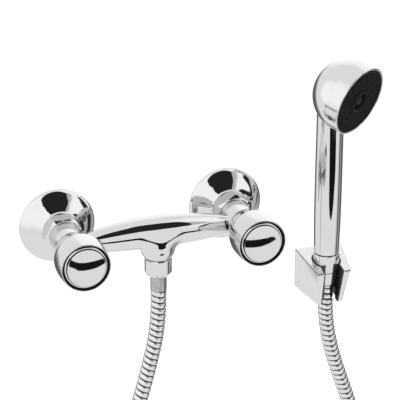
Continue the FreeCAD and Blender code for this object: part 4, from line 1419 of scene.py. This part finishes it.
@dataclass
class WallBracket:
    """Wedge-shaped block with a conical socket and a slot for the hose.

    The back is (width, top, bottom), and each front edge is (width, depth, height). The socket
    narrows downwards, and the slot from its front to the block's foot.
    """

    x: float = 163.8
    axis_depth: float = 20.6
    back: Point = (43.5, -53.3, -90.0)
    front_top: Point = (31.0, 40.0, -62.5)
    front_bottom: Point = (24.3, 31.5, -96.4)
    edge: float = 1.1
    back_edge: float = 0.6
    slot_edge: float = 0.5
    cell: float = 0.6
    lining_cell: float = 0.3
    side_lean: float = 0.98
    plate_lean: float = 0.97
    insert_wall: float = 0.8
    socket_top: float = -60.8
    socket_radius: float = 12.1
    socket_length: float = 19.0
    socket_narrowing: float = 3.2
    slot_top: float = -48.3
    slot_half: float = 8.75
    slot_length: float = 53.1
    slot_narrowing: float = 1.75
    screw_heights: tuple[float, ...] = (-66.5, -81.5)
    screw_radius: float = 2.3
    screw_head: float = 4.7
    screw_seat: float = 4.0
    seam_drop: float = 0.62
    seam_half: float = 0.34
    seam_depth: float = 0.9
    seam_cover: float = 0.06

    def corners(self) -> np.ndarray:
        """Find the block's corners.

        Returns:
            Eight points, back first, each ring clockwise from top left.
        """
        width, top, bottom = self.back
        wide, depth_top, high = self.front_top
        narrow, depth_low, low = self.front_bottom
        rings = ((width, 0.0, top, width, 0.0, bottom), (wide, depth_top, high, narrow, depth_low, low))
        return np.array([corner for w0, y0, z0, w1, y1, z1 in rings for corner in (
            (self.x - w0 / 2, -y0, z0), (self.x + w0 / 2, -y0, z0),
            (self.x + w1 / 2, -y1, z1), (self.x - w1 / 2, -y1, z1))])

    def from_axis(self, p: np.ndarray) -> tuple[np.ndarray, np.ndarray, np.ndarray]:
        """Points as seen from the socket's axis: sideways, towards the wall and up."""
        return p[:, 0] - self.x, p[:, 1] + self.axis_depth, p[:, 2]

    def wall_field(self, p: np.ndarray) -> np.ndarray:
        """Find the signed distance of the block without its cuts: ruled sides between back and front.

        Args:
            p: points in millimetres.

        Returns:
            Their distances.
        """
        c = self.corners()
        x, y, z = np.abs(p[:, 0] - self.x), p[:, 1], p[:, 2]
        share = np.clip(-y / self.front_top[1], -0.2, 1.3)
        low_share = np.clip(-y / self.front_bottom[1], -0.2, 1.4)
        top = self.back[1] + (self.front_top[2] - self.back[1]) * share
        bottom = self.back[2] + (self.front_bottom[2] - self.back[2]) * low_share
        height = np.clip((z - bottom) / (top - bottom), -0.3, 1.3)
        wide = self.back[0] / 2 + (self.front_top[0] - self.back[0]) / 2 * share
        narrow = self.back[0] / 2 + (self.front_bottom[0] - self.back[0]) / 2 * low_share
        side = (x - (narrow + (wide - narrow) * height)) * self.side_lean
        normal = np.cross(c[5] - c[4], c[7] - c[4])
        normal /= np.linalg.norm(normal)
        normal *= -np.sign(normal[1])
        solid = blend_cut(side, (z - top) * self.plate_lean, self.edge)
        solid = blend_cut(solid, (bottom - z) * self.plate_lean, self.edge)
        solid = blend_cut(solid, (p - c[4]) @ normal, self.edge)
        return blend_cut(solid, y, self.back_edge)

    def hollow(self, p: np.ndarray, growth: float) -> np.ndarray:
        """Find the signed distance of socket and slot.

        Args:
            p: points in millimetres.
            growth: how much wider both are made.

        Returns:
            Their distances.
        """
        x, y, z = self.from_axis(p)
        reach = np.clip((self.socket_top - z) / self.socket_length, 0.0, 1.0)
        socket = np.hypot(x, y) - (self.socket_radius + growth - self.socket_narrowing * reach)
        fall = np.clip((self.slot_top - z) / self.slot_length, -0.2, 1.2)
        half = self.slot_half + growth - self.slot_narrowing * fall
        return np.minimum(socket, np.maximum(np.abs(x) - half, y))

    def screw_holes(self, p: np.ndarray) -> np.ndarray:
        """Find the signed distance of the two screw holes with their counterbores.

        Args:
            p: points in millimetres.

        Returns:
            Their distances.
        """
        x, y, z = self.from_axis(p)
        holes = np.full(len(p), 100.0)
        for height in self.screw_heights:
            across = np.hypot(x, z - height)
            head = np.maximum(across - self.screw_head, p[:, 1] + self.screw_seat)
            holes = np.minimum(holes, np.maximum(np.minimum(across - self.screw_radius, head), -y))
        return holes

    def field(self, p: np.ndarray) -> np.ndarray:
        """Signed distance of the bracket with its hollow and screw holes."""
        solid = blend_cut(self.wall_field(p), -self.hollow(p, self.insert_wall + 0.05), self.slot_edge)
        return blend_cut(solid, -self.screw_holes(p), 0.3)

    def insert_field(self, p: np.ndarray) -> np.ndarray:
        """Find the signed distance of the insert, a touch below the block's faces.

        Args:
            p: points in millimetres.

        Returns:
            Their distances.
        """
        plug = np.maximum(self.hollow(p, self.insert_wall), self.wall_field(p) + 0.1)
        lining = blend_cut(plug, -self.hollow(p, 0.0), 0.12)
        return np.maximum(lining, -self.screw_holes(p))

    def rough(self, node: str) -> bpy.types.Object:
        """Copy a solid of the frame to start from.

        Args:
            node: name of the solid.

        Returns:
            A copy with its doubles merged.
        """
        copy = linked_object(node + "_copy", frame["nodes"][node].data.copy())
        work = bmesh.new()
        work.from_mesh(copy.data)
        bmesh.ops.remove_doubles(work, verts=work.verts, dist=COPY_MERGE_DISTANCE)
        work.to_mesh(copy.data)
        work.free()
        return copy

    def seam_shade_strip(self) -> bpy.types.Object:
        """Painted shade of the joint under the top plate: a thin black strip along each side and along both front
        pillars.

        Returns:
            Both strips in one object.
        """
        c = self.corners()
        pillar = self.slot_half + self.insert_wall + 0.4
        edges = [(-g, h) for g, h in ((self.seam_depth, -self.seam_half), (self.seam_cover, -self.seam_half),
                                      (self.seam_cover, self.seam_half), (self.seam_depth, self.seam_half))]
        strips = []
        for sign, back, front in ((-1.0, c[0], c[4]), (1.0, c[1], c[5])):
            rings = []
            for point, out in ((back + (front - back) * 0.02, (sign, 0.0)), (front, (sign, -1.0)),
                               (np.array((self.x + sign * pillar, front[1], front[2])), (0.0, -1.0))):
                rings.append(np.array([point + np.array((out[0] * g, out[1] * g, h - self.seam_drop))
                                       for g, h in edges]))
            strips.append(tube_through("seam_shade_strip", rings))
        return joined("bracket_seam_shade", strips)

    def build(self, palette: Palette) -> None:
        """Build and dress the bracket and its insert.

        Args:
            palette: the finishes.
        """
        solid = blended_solid("bracket", self.rough("wall_bracket"), self.field, self.cell)
        palette.dress(solid, "fixed_parts", Slot.CHROME, "wall_bracket")
        # A black strip paints the shade of the joint under the top plate.
        palette.dress(self.seam_shade_strip(), "fixed_parts", Slot.BLACK)
        # The black lining also paints the shade inside socket and slot.
        lining = blended_solid("bracket_lining_and_socket_shade", self.rough("bracket_insert"), self.insert_field, self.lining_cell)
        palette.dress(lining, "fixed_parts", Slot.BLACK, "bracket_insert", material=LINING_AND_SOCKET_SHADE.build())


# Studio

WHITE = (1.0, 1.0, 1.0, 1.0)


def tent_direction(azimuth: float, height: float) -> Point:
    """Unit vector to a place on the tent. Azimuth is zero straight out of the wall, positive to the right."""
    a, h = math.radians(azimuth), math.radians(height)
    return (math.sin(a) * math.cos(h), -math.cos(a) * math.cos(h), math.sin(h))


def share_near(tree: bpy.types.NodeTree, direction: bpy.types.NodeSocket, centre: Point, inner: float,
               outer: float) -> bpy.types.Node:
    """Add the nodes that tell how far a direction is inside a soft-edged cone.

    Args:
        tree: the world's node tree.
        direction: the direction that is looked up.
        centre: unit vector along the cone's axis.
        inner: angle in degrees up to which the share is one.
        outer: angle in degrees from which it is zero.

    Returns:
        The node that gives the share.
    """
    cosine = add_node(tree, "ShaderNodeVectorMath", {0: direction, 1: centre}, operation="DOT_PRODUCT")
    return add_node(tree, "ShaderNodeMapRange", {
        "Value": cosine.outputs["Value"], "From Min": math.cos(math.radians(outer)),
        "From Max": math.cos(math.radians(inner))}, interpolation_type="SMOOTHSTEP")


@dataclass(frozen=True)
class TentPatch:
    """A soft-edged patch of the tent: its azimuth, height, inner and outer angle in degrees, and its level."""

    azimuth: float
    height: float
    inner: float
    outer: float
    level: float

    def over(self, tree: bpy.types.NodeTree, direction: bpy.types.NodeSocket,
             level: float | bpy.types.Node) -> bpy.types.Node:
        """Lay the patch over the tent.

        Args:
            tree: the world's node tree.
            direction: the direction that is looked up.
            level: the tent's level so far.

        Returns:
            The level with the patch in it.
        """
        share = share_near(tree, direction, tent_direction(self.azimuth, self.height), self.inner, self.outer)
        return add_node(tree, "ShaderNodeMix", {"Factor": share, "A": level, "B": self.level})


@dataclass(frozen=True)
class TentStripe:
    """A dark stripe of the tent along a great circle, such as the gap between two cloths.

    The pole is the direction at right angles to the stripe, the centre its middle. Both are
    (azimuth, height). All angles are in degrees.
    """

    pole: tuple[float, float]
    centre: tuple[float, float]
    inner: float
    outer: float
    half_width: float
    soft_edge: float
    level: float

    def over(self, tree: bpy.types.NodeTree, direction: bpy.types.NodeSocket,
             level: bpy.types.Node) -> bpy.types.Node:
        """Lay the stripe over the tent.

        Args:
            tree: the world's node tree.
            direction: the direction that is looked up.
            level: the tent's level so far.

        Returns:
            The level with the stripe in it.
        """
        across = add_node(tree, "ShaderNodeVectorMath", {0: direction, 1: tent_direction(*self.pole)},
                          operation="DOT_PRODUCT")
        offset = add_node(tree, "ShaderNodeMath", {0: across.outputs["Value"]}, operation="ABSOLUTE")
        width = add_node(tree, "ShaderNodeMapRange", {
            "Value": offset, "From Min": math.sin(math.radians(self.half_width + self.soft_edge)),
            "From Max": math.sin(math.radians(self.half_width))}, interpolation_type="SMOOTHSTEP")
        reach = share_near(tree, direction, tent_direction(*self.centre), self.inner, self.outer)
        share = add_node(tree, "ShaderNodeMath", {0: width, 1: reach}, operation="MULTIPLY")
        return add_node(tree, "ShaderNodeMix", {"Factor": share, "A": level, "B": self.level})


@dataclass(frozen=True)
class Card:
    """A dark card in front of the object, seen only in reflections.

    The depth is its distance in front of the wall, and its corners are (x, z), all in metres.
    """

    name: str
    depth: float
    tone: str
    corners: Outline

    def build(self) -> None:
        """Make the card: matt black card, which shows one even tone in the chrome."""
        points = np.array([(x, -self.depth, z) for x, z in self.corners]) / MM
        obj = new_object(self.name, points, [tuple(range(len(points)))])
        material = bpy.data.materials.new("matt_black_card")
        material.use_nodes = True
        tree = material.node_tree
        tree.nodes.clear()
        paper = add_node(tree, "ShaderNodeEmission", {"Color": linear(self.tone), "Strength": 1.0})
        add_node(tree, "ShaderNodeOutputMaterial", {"Surface": paper})
        obj.data.materials.append(material)
        obj.visible_camera = obj.visible_diffuse = obj.visible_shadow = obj.visible_transmission = False


@dataclass(frozen=True)
class Lamp:
    """A square soft lamp: its place and size in metres and its power in watts."""

    name: str
    place: Point
    power: float
    size: float

    def build(self) -> None:
        """Make the lamp, aimed at the object and hidden from reflections."""
        data = bpy.data.lights.new(self.name, "AREA")
        data.energy = self.power
        data.shape = "SQUARE"
        data.size = self.size
        obj = linked_object(self.name, data)
        aim_at(obj, self.place, LAMP_AIM)
        obj.visible_glossy = obj.visible_camera = False


# Bright soft boxes left, right and behind, dim corners low on the right and far behind, and the
# gap between two cloths of the tent.
TENT = (
    TentPatch(-50.0, 22.0, 28.0, 46.0, 1.42),
    TentPatch(62.0, 28.0, 24.0, 42.0, 1.42),
    TentPatch(-98.0, 12.0, 20.0, 36.0, 1.42),
    TentPatch(150.0, 24.0, 16.0, 34.0, 1.42),
    TentPatch(-174.0, -20.0, 12.0, 32.0, 0.15),
    TentPatch(33.0, 32.0, 8.0, 15.0, 0.70),
    TentPatch(92.0, -30.0, 18.0, 36.0, 0.50),
    TentPatch(110.0, -10.0, 15.0, 25.0, 0.13),
    TentStripe((157.0, 15.7), (70.0, -6.0), 28.0, 34.0, half_width=3.4, soft_edge=1.2, level=0.03),
)
CARDS = (
    Card("upper_card", 3.0, "#2b2d2a", (
        (-0.72, 1.14), (0.45, 1.14), (0.7, 0.98), (1.3, 0.98), (1.75, 1.15), (2.0, 1.6), (2.17, 2.25), (2.35, 3.1),
        (2.2, 4.2), (1.7, 5.3), (0.7, 5.9), (-0.2, 5.6), (-0.9, 4.6), (-1.25, 3.2), (-1.2, 2.0), (-1.02, 1.42))),
    Card("lower_card", 0.8, "#1c1e1b", (
        (-0.23, -0.03), (-0.14, -0.125), (-0.04, -0.172), (0.08, -0.19), (0.25, -0.2), (0.4, -0.21),
        (0.49, -0.212), (0.57, -0.235), (0.64, -0.285), (0.66, -0.325), (0.52, -0.345), (0.4, -0.357),
        (0.31, -0.363), (0.19, -0.358), (0.06, -0.349), (-0.045, -0.332), (-0.073, -0.31), (-0.1, -0.285),
        (-0.154, -0.256), (-0.2, -0.235), (-0.24, -0.165), (-0.26, -0.085))),
)
# Large lamps above left and right, aimed at the middle of the arm and the bracket.
LAMP_AIM = (0.06, -0.04, 0.0)
LAMPS = (Lamp("key", (-0.9, -1.2, 1.3), 14.0, 1.2), Lamp("fill", (1.2, -1.0, 0.6), 6.0, 1.4))


def aim_at(obj: bpy.types.Object, place: Point, aim: Point) -> None:
    """Put a camera or lamp in its place and turn it to a point."""
    obj.location = place
    obj.rotation_euler = (Vector(aim) - Vector(place)).to_track_quat("-Z", "Y").to_euler()


@dataclass
class Studio:
    """Camera, white tent with dark cards, floor and lamps."""

    # Places and heights are in metres, and a level of one is white.
    camera_place: Point = (-0.3994, -1.3155, 0.5797)
    camera_aim: Point = (0.0388, -0.04, 0.023)
    lens: float = 156.78
    floor_height: float = -0.56
    floor_half: float = 6.0
    floor_tone: str = "#f4f4f4"
    floor_glow: float = 0.3
    tent_level: float = 1.14
    soft_level: float = 0.85

    def camera(self) -> None:
        """The camera at the photograph's angle."""
        data = bpy.data.cameras.new("camera")
        data.lens = self.lens
        data.sensor_width = 36.0
        data.clip_end = 50.0
        obj = linked_object("camera", data)
        aim_at(obj, self.camera_place, self.camera_aim)
        bpy.context.scene.camera = obj

    def world(self) -> None:
        """White for the eye; for metal and glass a tent with soft boxes, dim corners and a gap."""
        world = bpy.data.worlds.new("tent")
        bpy.context.scene.world = world
        world.use_nodes = True
        tree = world.node_tree
        tree.nodes.clear()
        direction = add_node(tree, "ShaderNodeTexCoord").outputs["Generated"]
        level = self.tent_level
        for piece in TENT:
            level = piece.over(tree, direction, level)
        path = add_node(tree, "ShaderNodeLightPath").outputs
        mirrored = add_node(tree, "ShaderNodeMath", {
            0: path["Is Glossy Ray"], 1: path["Is Transmission Ray"]}, operation="MAXIMUM")
        soft = add_node(tree, "ShaderNodeMix", {"Factor": mirrored, "A": self.soft_level, "B": level})
        seen = add_node(tree, "ShaderNodeMix", {"Factor": path["Is Camera Ray"], "A": soft, "B": 1.0})
        ground = add_node(tree, "ShaderNodeBackground", {"Color": WHITE, "Strength": seen})
        add_node(tree, "ShaderNodeOutputWorld", {"Surface": ground})

    def floor(self) -> None:
        """Plain pale floor far below, in matt white paint, which shows no reflections."""
        size, z = self.floor_half / MM, self.floor_height / MM
        corners = np.array([(-size, -size, z), (size, -size, z), (size, size, z), (-size, size, z)])
        obj = new_object("floor", corners, [(0, 1, 2, 3)])
        material = bpy.data.materials.new("matt_white_paint")
        material.use_nodes = True
        tree = material.node_tree
        path = add_node(tree, "ShaderNodeLightPath").outputs
        glow = path["Is Camera Ray"]
        for ray in ("Is Glossy Ray", "Is Transmission Ray"):
            glow = add_node(tree, "ShaderNodeMath", {0: glow, 1: path[ray]}, operation="MAXIMUM")
        level = add_node(tree, "ShaderNodeMath", {0: glow, 1: self.floor_glow}, operation="MULTIPLY")
        feed(tree.nodes["Principled BSDF"], {
            "Base Color": linear(self.floor_tone), "Roughness": 0.9, "Emission Color": WHITE,
            "Emission Strength": level})
        obj.data.materials.append(material)
        obj.visible_glossy = False

    def build(self) -> None:
        """Set up the whole studio."""
        self.camera()
        self.world()
        self.floor()
        for piece in CARDS + LAMPS:
            piece.build()


def main() -> None:
    """Build the studio and every sub-assembly."""
    logging.basicConfig(level=logging.INFO, format="%(message)s")
    bpy.context.scene.view_settings.view_transform = "Standard"
    Studio().build()
    palette = Palette.build()
    palette.dress_inner_nodes()
    for assembly in (HoseRun(), MixerBody(), ValveSide(Side.HOT, 2.0), ValveSide(Side.COLD, 28.0), HandShower(),
                     WallBracket()):
        assembly.build(palette)


if __name__ == "__main__":
    main()
